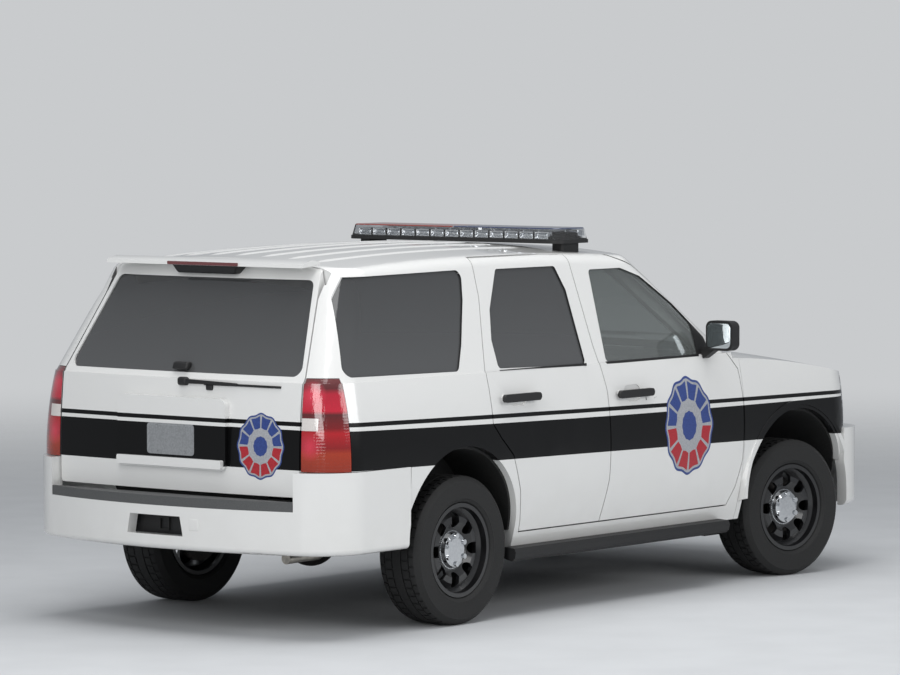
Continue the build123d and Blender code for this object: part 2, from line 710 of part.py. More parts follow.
# Rear axle: tubes, differential, springs, trailing arms and drum faces
with BuildPart() as rear_axle:
    with Locations((REAR_AXLE_X, 0, HUB_Z)):
        Cylinder(42, 2 * 745, rotation=(90, 0, 0))
        Sphere(140)
    with Locations((REAR_AXLE_X, 750, HUB_Z), (REAR_AXLE_X, -750, HUB_Z)):
        Cylinder(160, 26, rotation=(90, 0, 0))
    with Locations((REAR_AXLE_X, 0, HUB_Z)):
        Cylinder(40, 2 * 920, rotation=(90, 0, 0))
    for side in (-1, 1):
        with Locations((REAR_AXLE_X, side * 467, (HUB_Z + 560) / 2)):
            Cylinder(55, 560 - HUB_Z)
        add(block(REAR_AXLE_X - 20, -880, min(side * 505, side * 553), max(side * 505, side * 553), 345, 390))
save(rear_axle.part, "rear_axle")
with BuildPart() as shaft:
    with BuildSketch(Plane.YZ.offset(REAR_AXLE_X + 139)):
        with Locations((0, 390)):
            Circle(36)
    extrude(amount=480 - REAR_AXLE_X - 139 - FIT_GAP)
    add(rear_axle.part, mode=Mode.SUBTRACT)
save(shaft.part, "drive_shaft")

# Exhaust: pipe, muffler and tailpipe on the right
PIPE_R = 27
EXHAUST_PATH = [(-880, -320, 385), (-1150, -360, 480), (-1600, -370, 480)]
EXHAUST_PATH += [(-1950, -590, 430), (-2150, -690, 398), (-2390, -690, 395)]
with BuildPart() as exhaust:
    with BuildLine() as tail_line:
        FilletPolyline(*EXHAUST_PATH, radius=60)
    with BuildSketch(Plane((-880, -320, 385), z_dir=tail_line.line % 0)):
        Circle(PIPE_R)
    sweep()
    with BuildLine() as lead_line:
        FilletPolyline((-420, -300, 375), (820, -215, 375), (960, -215, 430), (1079.7, -215, 430), radius=60)
    with BuildSketch(Plane((-420, -300, 375), z_dir=lead_line.line % 0)):
        Circle(PIPE_R)
    sweep()
    with BuildSketch(Plane.YZ.offset(-890)):
        with Locations((-310, 380)):
            RectangleRounded(200, 110, 50)
    extrude(amount=480)
save(exhaust.part, "exhaust")

# Fuel tank beside the drive shaft
with BuildPart() as tank:
    add(block(-800, -340, 120, RAIL_Y[0], 310, 432))
    fillet(tank.edges().filter_by(Axis.X), 25)
save(tank.part, "fuel_tank")

# Wheels: pressed steel wheel with round windows and a bright centre cap, on a road tyre
# Columns of each row: radius and place along the axle, outwards, of one point of the section
RIM_PROFILE = [
    *((234, 108), (234, 100), (222, 96), (222, 72), (203, 56), (203, -60), (222, -84), (222, -96)),
    *((234, -100), (234, -108), (214, -108), (214, -90), (193, -64), (193, 34), (166, 58), (140, 62)),
    *((112, 44), (100, 40), (92, 20), (0, 20), (0, 84), (62, 84), (84, 78), (92, 58)),
    *((104, 56), (138, 80), (168, 78), (194, 56), (212, 74), (214, 108)),
]
TYRE_OUTER = [(223, 93), (236, 97), (240, 112), (262, 124), (300, 129), (336, 124), (359, 112), (371, 96)]
TYRE_INNER = [(357, 84), (344, 100), (300, 116), (246, 94), (223, 82)]
TYRE_PROFILE = TYRE_OUTER + [(r, -w) for r, w in reversed(TYRE_OUTER)]
TYRE_PROFILE += [(r, -w) for r, w in reversed(TYRE_INNER)] + TYRE_INNER
WHEEL_WINDOWS = 8
WINDOW_LENGTH = 76
WINDOW_WIDTH = 58
WINDOW_R = 149
SPINDLE_R = 40
RUNNING_FIT = 0.05
with BuildPart() as wheel:
    with BuildSketch(Plane.XY):
        with BuildLine():
            Polyline(*[(r, -w) for r, w in RIM_PROFILE], close=True)
        make_face()
    revolve(axis=Axis.Y)
    with BuildSketch(Plane.XZ.offset(30)):
        with PolarLocations(WINDOW_R, WHEEL_WINDOWS):
            SlotOverall(WINDOW_LENGTH, WINDOW_WIDTH)
    extrude(amount=80, mode=Mode.SUBTRACT)
    with BuildSketch(Plane.XZ.offset(70)):
        with PolarLocations(70, 6, start_angle=30):
            Circle(13)
    extrude(amount=22)
    with BuildSketch(Plane.XZ.offset(10)):
        Circle(SPINDLE_R + RUNNING_FIT)
    extrude(amount=60, mode=Mode.SUBTRACT)
with BuildPart() as tyre:
    with BuildSketch(Plane.XY):
        with BuildLine():
            Polyline(*[(r, -w) for r, w in TYRE_PROFILE], close=True)
        make_face()
    revolve(axis=Axis.Y)

# Steering knuckle: upright, spindle, disc and caliper, turning about a vertical axis
KNUCKLE_HALF = 140
OFFSET_Y = FRONT_WHEEL_Y - KINGPIN_Y
with BuildPart() as knuckle:
    add(block(-30, 30, OFFSET_Y - 24, OFFSET_Y + 24, -KNUCKLE_HALF, KNUCKLE_HALF))
    with Locations((0, (OFFSET_Y - 69.7) / 2, 0)):
        Cylinder(SPINDLE_R, OFFSET_Y + 69.7, rotation=(90, 0, 0))
    with Locations((0, 12, 0)):
        Cylinder(160, 24, rotation=(90, 0, 0))
    add(block(-176, -110, -10, 64, -50, 50))


def at_wheel(piece, x, y, angle, pivot_y):
    turned = Location((x, pivot_y, HUB_Z), (0, 0, angle))
    return turned * Location((0, y - pivot_y, 0)) * piece


left_wheel = other_side(wheel.part)
left_tyre = other_side(tyre.part)
left_knuckle = other_side(knuckle.part)
for name, right_piece, left_piece in (
    ("wheel", wheel.part, left_wheel),
    ("tyre", tyre.part, left_tyre),
):
    for side, sign, piece in (("right", -1, right_piece), ("left", 1, left_piece)):
        steered = at_wheel(piece, FRONT_AXLE_X, sign * FRONT_WHEEL_Y, STEER_AS_PARKED, sign * KINGPIN_Y)
        save(steered, f"{name}_front_{side}")
        save(at_wheel(piece, REAR_AXLE_X, sign * REAR_WHEEL_Y, 0, sign * REAR_WHEEL_Y), f"{name}_rear_{side}")
for side, sign, piece in (("right", -1, knuckle.part), ("left", 1, left_knuckle)):
    steered = at_wheel(piece, FRONT_AXLE_X, sign * FRONT_WHEEL_Y, STEER_AS_PARKED, sign * KINGPIN_Y)
    save(steered, f"knuckle_{side}")

# Front control arms from the frame to each knuckle
with BuildPart() as arms:
    for z, height in ((HUB_Z - KNUCKLE_HALF - FIT_GAP - 26, 26), (HUB_Z + KNUCKLE_HALF + FIT_GAP, 24)):
        with BuildSketch(Plane.XY.offset(z)):
            with BuildLine():
                Polyline(
                    (FRONT_AXLE_X - 28, -KINGPIN_Y),
                    (FRONT_AXLE_X + 28, -KINGPIN_Y),
                    (FRONT_AXLE_X + 130, -RAIL_Y[1]),
                    (FRONT_AXLE_X - 130, -RAIL_Y[1]),
                    close=True,
                )
            make_face()
            with Locations((FRONT_AXLE_X, -KINGPIN_Y)):
                Circle(28)
            with Locations((FRONT_AXLE_X, -RAIL_Y[1] - 60)):
                Circle(36, mode=Mode.SUBTRACT)
        extrude(amount=height)
save(both_sides(arms.part), "control_arms")

# Cabin: dashboard, steering wheel, seats
with BuildPart() as dash:
    with BuildSketch(Plane.XZ.offset(-820)):
        with BuildLine():
            Polyline((945, 820), (945, 1180), (900, 1200), (720, 1150), (690, 1060), (760, 820), close=True)
        make_face()
    extrude(amount=1640)
save(dash.part, "dashboard")
WHEEL_AT = (610, 385, 1075)
with BuildPart() as steering_wheel:
    with BuildSketch(Plane.XZ):
        with Locations((180, 0)):
            Circle(15)
    revolve(axis=Axis.Z)
    Box(340, 60, 22)
    Cylinder(62, 40)
    Cylinder(26, 150, align=(Align.CENTER, Align.CENTER, Align.MAX))
rim_tilt = Location(WHEEL_AT, (0, -66, 0))
save(pick(rim_tilt * steering_wheel.part, cut=[dash.part]), "steering_wheel")


def seat(x, width, y, back_top):
    with BuildPart() as chair:
        with BuildSketch(Plane.XZ.offset(-y - width / 2)):
            with BuildLine():
                Polyline(
                    (x, FLOOR_Z + 30),
                    (x + 420, FLOOR_Z + 30),
                    (x + 500, 760),
                    (x + 490, 840),
                    (x + 130, 820),
                    (x - 40, back_top),
                    (x - 150, back_top),
                    (x - 20, 700),
                    close=True,
                )
            make_face()
        extrude(amount=width)
        fillet(chair.edges().filter_by(Axis.Y), 20)
    return chair.part


with BuildPart() as seats:
    for x, width, y, top in ((-110, 520, 385, 1420), (-110, 520, -385, 1420), (-810, 1240, 0, 1330)):
        add(seat(x, width, y, top))
    for x, y, top in ((-190, 385, 1420), (-190, -385, 1420)):
        with BuildSketch(Plane.XY.offset(top)):
            with Locations((x - 15, y)):
                RectangleRounded(90, 250, 40)
        extrude(amount=150)
save(seats.part, "seats")
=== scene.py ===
import json
import math

import bpy
from mathutils import Matrix, Vector

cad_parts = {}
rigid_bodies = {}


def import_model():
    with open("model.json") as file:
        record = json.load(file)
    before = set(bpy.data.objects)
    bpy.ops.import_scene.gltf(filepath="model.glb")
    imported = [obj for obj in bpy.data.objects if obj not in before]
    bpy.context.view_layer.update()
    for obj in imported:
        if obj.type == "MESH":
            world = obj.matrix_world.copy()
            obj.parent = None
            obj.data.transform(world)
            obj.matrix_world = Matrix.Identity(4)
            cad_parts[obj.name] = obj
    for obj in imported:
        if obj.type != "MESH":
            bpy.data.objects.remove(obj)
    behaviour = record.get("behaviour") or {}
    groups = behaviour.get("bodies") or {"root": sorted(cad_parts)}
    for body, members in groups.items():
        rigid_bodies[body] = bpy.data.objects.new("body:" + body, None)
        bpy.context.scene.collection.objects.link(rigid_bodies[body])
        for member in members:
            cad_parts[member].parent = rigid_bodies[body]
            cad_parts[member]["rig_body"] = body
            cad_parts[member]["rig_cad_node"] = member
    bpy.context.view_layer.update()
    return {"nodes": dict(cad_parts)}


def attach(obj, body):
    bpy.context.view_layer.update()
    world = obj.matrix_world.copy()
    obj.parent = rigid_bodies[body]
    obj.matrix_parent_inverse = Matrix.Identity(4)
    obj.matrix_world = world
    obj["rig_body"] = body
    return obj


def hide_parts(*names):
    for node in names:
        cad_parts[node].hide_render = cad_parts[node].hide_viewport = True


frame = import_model()

# White body panels: pressed steel and moulded bumper covers in a solid white enamel
# under clear lacquer, baked on. The gloss is even, with painted shade greying the white low down.


def linear(hex_colour):
    channels = [int(hex_colour[i : i + 2], 16) / 255 for i in (1, 3, 5)]
    return (*[c / 12.92 if c <= 0.04045 else ((c + 0.055) / 1.055) ** 2.4 for c in channels], 1.0)


def add_node(tree, kind, settings, inputs):
    made = tree.nodes.new(kind)
    for name, value in settings.items():
        setattr(made, name, value)
    for name, value in inputs.items():
        if isinstance(value, bpy.types.NodeSocket):
            tree.links.new(value, made.inputs[name])
        else:
            made.inputs[name].default_value = value
    return made


def new_finish(name, **sockets):
    material = bpy.data.materials.new(name)
    material.use_nodes = True
    shader = material.node_tree.nodes["Principled BSDF"]
    for socket, value in sockets.items():
        shader.inputs[socket.replace("_", " ")].default_value = value
    return material, material.node_tree, shader


GRAIN_SPREAD = (0.35, 0.65)


def speckle(tree, shader, size_mm, low, high, bump_mm):
    where = add_node(tree, "ShaderNodeTexCoord", {}, {}).outputs["Object"]
    grain = add_node(
        tree, "ShaderNodeTexNoise", {}, {"Vector": where, "Scale": 1000 / size_mm, "Detail": 3}
    ).outputs["Fac"]
    blend = add_node(tree, "ShaderNodeValToRGB", {}, {"Fac": grain})
    for stop, position, hex_colour in zip(blend.color_ramp.elements, GRAIN_SPREAD, (low, high)):
        stop.position = position
        stop.color = linear(hex_colour)
    tree.links.new(blend.outputs["Color"], shader.inputs["Base Color"])
    relief = add_node(
        tree, "ShaderNodeBump", {}, {"Height": grain, "Strength": 1, "Distance": bump_mm / 1000}
    )
    tree.links.new(relief.outputs["Normal"], shader.inputs["Normal"])
    return where


# The enamel shows as a clean, even white with a sharp lacquer gloss, and painted shade makes it duller and
# greyer at the sills.
WHITE = "#E4E4E2"
SHADE_GREY = "#C9C7C2"
SHADE_FROM_Z = 0.75
SHADE_FULL_Z = 0.3
SHADE_SHARE = 0.5
SHADE_PATCHES_A_METRE = 9


# Painted shade: low on the body the white is mixed towards a grey, in soft noise patches, greyest at the
# sills.
def white_with_painted_shade(tree):
    where = add_node(tree, "ShaderNodeTexCoord", {}, {}).outputs["Object"]
    place = add_node(tree, "ShaderNodeSeparateXYZ", {}, {"Vector": where})
    low_down = add_node(
        tree,
        "ShaderNodeMapRange",
        {},
        {
            "Value": place.outputs["Z"],
            "From Min": SHADE_FROM_Z,
            "From Max": SHADE_FULL_Z,
            "To Min": 0,
            "To Max": SHADE_SHARE,
        },
    )
    shade_noise = add_node(
        tree, "ShaderNodeTexNoise", {}, {"Vector": where, "Scale": SHADE_PATCHES_A_METRE, "Detail": 5}
    )
    shade_amount = add_node(
        tree,
        "ShaderNodeMath",
        {"operation": "MULTIPLY"},
        {0: low_down.outputs["Result"], 1: shade_noise.outputs["Fac"]},
    )
    white = add_node(
        tree,
        "ShaderNodeMix",
        {"data_type": "RGBA"},
        {"Factor": shade_amount.outputs["Value"], "A": linear(WHITE), "B": linear(SHADE_GREY)},
    )
    return place, white.outputs["Result"]


LACQUERED = {"Roughness": 0.28, "IOR": 1.5, "Coat_Weight": 1.0, "Coat_Roughness": 0.03}
enamel, tree, shader = new_finish("white_enamel", **LACQUERED)
place, white = white_with_painted_shade(tree)
tree.links.new(white, shader.inputs["Base Color"])

# Lining: grey polypropylene mouldings clipped to the inner faces of doors, pillars and roof.
# The fine grain keeps it matt, so the cabin stays dark and quiet behind the glass.
lining, tree, shader = new_finish("grained_lining", Roughness=0.7)
speckle(tree, shader, 2.5, "#4A4A4B", "#565657", 0.15)


def merged_copy(node, name, finishes, angle=28):
    bpy.ops.object.select_all(action="DESELECT")
    source = frame["nodes"][node]
    piece = source.copy()
    piece.data = source.data.copy()
    piece.name = name
    piece.parent = None
    del piece["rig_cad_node"]
    bpy.context.scene.collection.objects.link(piece)
    bpy.context.view_layer.objects.active = piece
    piece.select_set(True)
    bpy.ops.object.mode_set(mode="EDIT")
    bpy.ops.mesh.customdata_custom_splitnormals_clear()
    bpy.ops.mesh.select_all(action="SELECT")
    bpy.ops.mesh.remove_doubles(threshold=2e-5)
    bpy.ops.object.mode_set(mode="OBJECT")
    bpy.ops.object.shade_smooth_by_angle(angle=math.radians(angle))
    even = piece.modifiers.new("even_gloss", "WEIGHTED_NORMAL")
    even.keep_sharp = True
    bpy.ops.object.modifier_apply(modifier=even.name)
    dress(piece, finishes)
    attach(piece, source["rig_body"])
    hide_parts(node)
    return piece


def dress(piece, finishes):
    piece.data.materials.clear()
    for material, wanted in finishes:
        piece.data.materials.append(material)
    for face in piece.data.polygons:
        for index, (material, wanted) in enumerate(finishes):
            if wanted is None or wanted(face.center, face.normal):
                face.material_index = index


INWARD = 0.25


def inward(centre, normal):
    return normal.y * centre.y < -INWARD * abs(centre.y)


ROOF_LINING_Z = 1.83
roof = merged_copy(
    "roof", "roof_panel", [(enamel, None), (lining, lambda c, n: n.z < -0.3 and c.z < ROOF_LINING_Z)]
)
hood = merged_copy("hood", "hood_panel", [(enamel, None)])
for bumper in ("front_bumper", "rear_bumper"):
    cover = merged_copy(bumper, bumper + "_cover", [(enamel, None)], angle=35)

# Striped panels: the same enamel with a broad black band and a thin line above it, cut from
# cast vinyl film. Both run level round the sides and the liftgate, a little lower at the front.
# The film is duller than the lacquer, so the band reads as a deep black.
BLACK_FILM = "#0B0B0C"
LINE_TOP = (1.0124, -0.0148, 0.001353)
LINE_THICK = 0.021
BAND_TOP = (0.9665, -0.01319, 0.003225)
BAND_BOTTOM = (0.7832, -0.0166, 0.0)
striped, tree, shader = new_finish("striped_enamel", **LACQUERED)
# The striped panels carry the same painted shade low down.
place, white = white_with_painted_shade(tree)
above = []
for at, rise, bow in (LINE_TOP, (LINE_TOP[0] - LINE_THICK, *LINE_TOP[1:]), BAND_TOP, BAND_BOTTOM):
    slope = add_node(
        tree, "ShaderNodeMath", {"operation": "MULTIPLY_ADD"}, {0: place.outputs["X"], 1: bow, 2: rise}
    )
    edge = add_node(
        tree,
        "ShaderNodeMath",
        {"operation": "MULTIPLY_ADD"},
        {0: slope.outputs["Value"], 1: place.outputs["X"], 2: at},
    )
    over = add_node(
        tree,
        "ShaderNodeMath",
        {"operation": "GREATER_THAN"},
        {0: place.outputs["Z"], 1: edge.outputs["Value"]},
    )
    above.append(over.outputs["Value"])
line = add_node(tree, "ShaderNodeMath", {"operation": "SUBTRACT"}, {0: above[1], 1: above[0]})
band = add_node(tree, "ShaderNodeMath", {"operation": "SUBTRACT"}, {0: above[3], 1: above[2]})
film = add_node(
    tree, "ShaderNodeMath", {"operation": "ADD"}, {0: line.outputs["Value"], 1: band.outputs["Value"]}
)
colour = add_node(
    tree,
    "ShaderNodeMix",
    {"data_type": "RGBA"},
    {"Factor": film.outputs["Value"], "A": white, "B": linear(BLACK_FILM)},
)
tree.links.new(colour.outputs["Result"], shader.inputs["Base Color"])
for socket, bare, filmed in (("Coat Weight", 1.0, 0.12), ("Specular IOR Level", 0.5, 0.2)):
    gloss = add_node(
        tree, "ShaderNodeMapRange", {}, {"Value": film.outputs["Value"], "To Min": bare, "To Max": filmed}
    )
    tree.links.new(gloss.outputs["Result"], shader.inputs[socket])

# Black trim: handles, wipers, mirror shells and boards, moulded in black polypropylene.
# The leather grain breaks up the shine and shows a soft dark grey in the light.
trim, tree, shader = new_finish("grained_black_trim", Roughness=0.55)
speckle(tree, shader, 2.0, "#151516", "#1E1E1F", 0.08)

# Window channels and striped panels: black rubber seals are pressed into the edge of each
# window opening, and the doors, sides and liftgate around them are pressed steel. The rubber
# shows as a dull black line round the glass.
seal, tree, shader = new_finish("extruded_rubber_seal", Roughness=0.5)
speckle(tree, shader, 3.0, "#0E0E0F", "#151516", 0.05)
FRONT_WINDOW = [(-128, 1244), (-102, 1715), (180, 1715), (340, 1667), (594, 1516), (790, 1330), (800, 1244)]
REAR_WINDOW = [(-306, 1238), (-332, 1618), (-385, 1742), (-880, 1742)]
REAR_WINDOW += [(-1000, 1545), (-1042, 1395), (-1035, 1253)]
QUARTER_WINDOW = [(-2235, 1266), (-2080, 1736), (-1160, 1747), (-1200, 1598), (-1291, 1381), (-1360, 1254)]
REVEAL_REACH = 14
FACING_OUT = 0.6


def in_reveal(window):
    mid_x = sum(x for x, z in window) / len(window)
    mid_z = sum(z for x, z in window) / len(window)

    def test(centre, normal):
        if abs(normal.y) > FACING_OUT:
            return False
        x, z = centre.x * 1000, centre.z * 1000
        if normal.x * (mid_x - x) + normal.z * (mid_z - z) < 0:
            return False
        nearest = 1e9
        for (ax, az), (bx, bz) in zip(window, window[1:] + window[:1]):
            along = ((x - ax) * (bx - ax) + (z - az) * (bz - az)) / ((bx - ax) ** 2 + (bz - az) ** 2)
            along = min(1, max(0, along))
            nearest = min(nearest, math.hypot(x - ax - along * (bx - ax), z - az - along * (bz - az)))
        return nearest < REVEAL_REACH

    return test


HANDLE_Y = 0.986
HANDLE_Z = (1.04, 1.15)
panels = [
    ("body_sides", [(striped, None), (lining, inward), (seal, in_reveal(QUARTER_WINDOW))]),
    ("front_fenders", [(striped, None), (trim, inward)]),
]
for side in ("left", "right"):
    for door, window in (("front_door", FRONT_WINDOW), ("rear_door", REAR_WINDOW)):
        panels.append(
            (
                f"{door}_{side}",
                [
                    (striped, None),
                    (lining, inward),
                    (seal, in_reveal(window)),
                    (trim, lambda c, n: abs(c.y) > HANDLE_Y and HANDLE_Z[0] < c.z < HANDLE_Z[1]),
                ],
            )
        )
for node, finishes in panels:
    panel = merged_copy(node, node + "_panel", finishes)
GATE_LINING_Z = 1.78
gate = merged_copy(
    "liftgate", "liftgate_panel", [(striped, None), (lining, lambda c, n: n.x > 0.4 and c.z < GATE_LINING_Z)]
)
pull = merged_copy("liftgate_pull", "liftgate_pull_bar", [(enamel, None)])

# Roof ribs: long beads pressed into the roof panel to stiffen it, seven across, each about
# 60 mm wide and 7 mm high and run out flat at both ends.
RIB_SPACING = 0.17
RIB_HALF = 0.032
RIB_HEIGHT = 0.007
RIB_SUNK = 0.0015
RIB_RUN_OUT = 0.12
RIB_ENDS = (-1.98, -0.28)
ROOF_TOP = (-0.85, 1.856)
ROOF_RADII = (19.0, 6.2)


def joined(pieces, name):
    bpy.ops.object.select_all(action="DESELECT")
    for piece in pieces:
        piece.select_set(True)
    bpy.context.view_layer.objects.active = pieces[0]
    bpy.ops.object.join()
    whole = bpy.context.active_object
    whole.name = name
    return whole


ribs = []
for rank in range(-3, 4):
    bpy.ops.object.select_all(action="DESELECT")
    bpy.ops.mesh.primitive_grid_add(x_subdivisions=48, y_subdivisions=12, size=2)
    rib = bpy.context.active_object
    for vertex in rib.data.vertices:
        x = (RIB_ENDS[0] + RIB_ENDS[1]) / 2 + vertex.co.x * (RIB_ENDS[1] - RIB_ENDS[0]) / 2
        fade = min(1, (1 - abs(vertex.co.x)) / RIB_RUN_OUT)
        crown = math.cos(vertex.co.y * math.pi / 2) ** 2 * fade * fade * (3 - 2 * fade)
        y = rank * RIB_SPACING + vertex.co.y * RIB_HALF
        drop = (x - ROOF_TOP[0]) ** 2 / (2 * ROOF_RADII[0]) + y * y / (2 * ROOF_RADII[1])
        vertex.co = (x, y, ROOF_TOP[1] - drop - RIB_SUNK + RIB_HEIGHT * crown)
    ribs.append(rib)
ribs = joined(ribs, "roof_ribs")
bpy.ops.object.shade_smooth()
ribs.data.materials.append(enamel)
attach(ribs, "body")

# Belt seals: flocked black rubber strips along the foot of each door window, clipped over
# the door's skin, where they wipe the pane as it goes down.


def new_block(name, low, high):
    bpy.ops.object.select_all(action="DESELECT")
    bpy.ops.mesh.primitive_cube_add(size=1, location=[(a + b) / 2 for a, b in zip(low, high)])
    block = bpy.context.active_object
    block.name = name
    block.scale = [b - a for a, b in zip(low, high)]
    bpy.ops.object.transform_apply(location=True, rotation=True, scale=True)
    return block


def activate(piece):
    bpy.ops.object.select_all(action="DESELECT")
    piece.select_set(True)
    bpy.context.view_layer.objects.active = piece


def turn_outward(piece):
    activate(piece)
    bpy.ops.object.mode_set(mode="EDIT")
    bpy.ops.mesh.select_all(action="SELECT")
    bpy.ops.mesh.normals_make_consistent(inside=False)
    bpy.ops.object.mode_set(mode="OBJECT")


def soften(piece, width, segments):
    activate(piece)
    edges = piece.modifiers.new("soft_edges", "BEVEL")
    edges.width = width
    edges.segments = segments
    edges.limit_method = "ANGLE"
    bpy.ops.object.modifier_apply(modifier=edges.name)
    bpy.ops.object.shade_smooth_by_angle(angle=math.radians(35))


BELT_SKIN_Y = (0.9380, 0.9480)
BELT_LEAN = 0.001
BELT_SEALS = [
    ("front_door", -0.132, 0.700, 1.231, 1.214, 1.2455),
    ("rear_door", -1.030, -0.304, 1.243, 1.232, 1.2455),
]
for side, sign in (("left", 1), ("right", -1)):
    for door, back_x, front_x, back_z, front_z, top_z in BELT_SEALS:
        low = (back_x, BELT_SKIN_Y[0], front_z)
        high = (front_x, BELT_SKIN_Y[1], top_z)
        strip = new_block(f"{door}_{side}_belt_seal", low, high)
        for vertex in strip.data.vertices:
            if vertex.co.z < top_z - 0.001:
                vertex.co.z = back_z if vertex.co.x < (back_x + front_x) / 2 else front_z
                vertex.co.y += BELT_LEAN
            vertex.co.y *= sign
        turn_outward(strip)
        soften(strip, 0.003, 3)
        strip.data.materials.append(seal)
        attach(strip, f"{door}_{side}")

# Rear wiper: a pressed arm and a rubber blade on a moulded pivot, parked flat under the
# liftgate window, with the window's latch handle above it.


def subdivided(piece, cuts):
    activate(piece)
    bpy.ops.object.mode_set(mode="EDIT")
    bpy.ops.mesh.select_all(action="SELECT")
    bpy.ops.mesh.subdivide(number_cuts=cuts)
    bpy.ops.object.mode_set(mode="OBJECT")


GATE_BOW = 0.040
GATE_HALF = 0.772
BLADE_SEAT = 0.06
BLADE_DROOP = 0.006
BLADE_MIDDLE = -0.42
pivot = new_block("rear_wiper", (-2.432, -0.090, 1.205), (-2.396, -0.030, 1.247))
soften(pivot, 0.014, 4)
arm = new_block("wiper_arm", (-2.430, -0.400, 1.216), (-2.420, -0.050, 1.240))
for vertex in arm.data.vertices:
    if vertex.co.y < -0.2:
        vertex.co.x += 0.016
        vertex.co.z = 1.222 + (vertex.co.z - 1.228) * 0.5
soften(arm, 0.003, 2)
blade = new_block("wiper_blade", (-2.414, -0.655, 1.213), (-2.404, -0.190, 1.224))
subdivided(blade, 10)
for vertex in blade.data.vertices:
    vertex.co.x += GATE_BOW * ((vertex.co.y / GATE_HALF) ** 2 - BLADE_SEAT)
    vertex.co.z -= BLADE_DROOP * abs(vertex.co.y - BLADE_MIDDLE)
soften(blade, 0.002, 2)
parking_rest = new_block("wiper_rest", (-2.418, -0.245, 1.188), (-2.392, -0.205, 1.216))
soften(parking_rest, 0.006, 3)
latch = new_block("window_latch", (-2.404, -0.068, 1.281), (-2.366, 0.028, 1.317))
for vertex in latch.data.vertices:
    if vertex.co.z > 1.3:
        vertex.co.x += 0.014
soften(latch, 0.010, 4)
wiper = joined([pivot, arm, blade, parking_rest, latch], "rear_wiper_and_latch")
wiper.data.materials.clear()
wiper.data.materials.append(trim)
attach(wiper, "liftgate")

# High stop lamp housing: a black moulding let into the underside of the spoiler, narrower
# below, behind the lamp's red lens.
housing = new_block("stop_lamp_housing", (-2.196, -0.215, 1.742), (-2.100, 0.215, 1.790))
for vertex in housing.data.vertices:
    if vertex.co.z < 1.76:
        vertex.co.x += 0.018
        vertex.co.y *= 0.86
soften(housing, 0.008, 3)
housing.data.materials.append(trim)
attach(housing, "liftgate")

# Plate: a blank pressed aluminium plate with a rolled border, held on the liftgate by four
# screws. The metal is dull and faintly mottled, with a brighter edge at the border.
plate_metal, tree, shader = new_finish("pressed_aluminium", Metallic=0.7, Roughness=0.35)
speckle(tree, shader, 9.0, "#A2A4A6", "#B4B6B8", 0.02)
PLATE_X = (-2.4430, -2.4412)
PLATE_HALF = (0.1525, 0.076)
PLATE_Z = 0.942
PLATE_CORNER = 0.018
SCREW_HALF = (0.089, 0.0605)
SCREW_RADIUS = 0.007
SCREW_HEAD = 0.004


def select_edges_along_x(piece, least):
    bpy.ops.object.mode_set(mode="EDIT")
    bpy.ops.mesh.select_mode(type="EDGE")
    bpy.ops.mesh.select_all(action="DESELECT")
    bpy.ops.object.mode_set(mode="OBJECT")
    for edge in piece.data.edges:
        a, b = (piece.data.vertices[i].co for i in edge.vertices)
        edge.select = abs(a.x - b.x) > least
    bpy.ops.object.mode_set(mode="EDIT")


def select_faces(piece, wanted):
    bpy.ops.object.mode_set(mode="EDIT")
    bpy.ops.mesh.select_mode(type="FACE")
    bpy.ops.mesh.select_all(action="DESELECT")
    bpy.ops.object.mode_set(mode="OBJECT")
    for face in piece.data.polygons:
        face.select = wanted(face)
    bpy.ops.object.mode_set(mode="EDIT")


low = (PLATE_X[0], -PLATE_HALF[0], PLATE_Z - PLATE_HALF[1])
high = (PLATE_X[1], PLATE_HALF[0], PLATE_Z + PLATE_HALF[1])
plate = new_block("blank_plate", low, high)
select_edges_along_x(plate, 0.001)
bpy.ops.mesh.bevel(offset=PLATE_CORNER, segments=5)
select_faces(plate, lambda face: face.normal.x < -0.9)
bpy.ops.mesh.inset(thickness=0.006)
bpy.ops.mesh.inset(thickness=0.004, depth=-0.0012)
bpy.ops.object.mode_set(mode="OBJECT")
screws = []
for y in (-SCREW_HALF[0], SCREW_HALF[0]):
    for z in (PLATE_Z - SCREW_HALF[1], PLATE_Z + SCREW_HALF[1]):
        bpy.ops.object.select_all(action="DESELECT")
        bpy.ops.mesh.primitive_cylinder_add(
            vertices=20,
            radius=SCREW_RADIUS,
            depth=SCREW_HEAD,
            location=(PLATE_X[0] - 0.001, y, z),
            rotation=(0, math.pi / 2, 0),
        )
        screw = bpy.context.active_object
        bpy.ops.object.transform_apply(location=True, rotation=True, scale=True)
        soften(screw, 0.0015, 2)
        screws.append(screw)
plate = joined([plate, *screws], "blank_plate")
plate.data.materials.clear()
plate.data.materials.append(plate_metal)
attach(plate, "liftgate")

# Rear bumper fittings: the black liner round the hitch receiver and the snap-in square
# cover over the recovery eye beside it, both plastic mouldings.
liner = new_block("hitch_liner", (-2.476, -0.192, 0.472), (-2.470, 0.192, 0.592))
select_faces(liner, lambda face: face.normal.x < -0.9)
bpy.ops.mesh.inset(thickness=0.020)
bpy.ops.mesh.inset(thickness=0.012, depth=0.003)
bpy.ops.object.mode_set(mode="OBJECT")
soften(liner, 0.001, 2)
liner.data.materials.append(trim)
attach(liner, "body")
eye_cover = new_block("recovery_eye_cover", (-2.5575, -0.275, 0.515), (-2.545, -0.217, 0.573))
for vertex in eye_cover.data.vertices:
    if vertex.co.y < -0.25:
        vertex.co.x += 0.0045
soften(eye_cover, 0.003, 3)
eye_cover.data.materials.append(enamel)
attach(eye_cover, "body")

# Glass: tempered panes 5 mm thick. Those behind the front doors are privacy glass,
# grey right through, and the windshield and front panes only lightly tinted.
GLASS_Z = (1.24, 1.75)


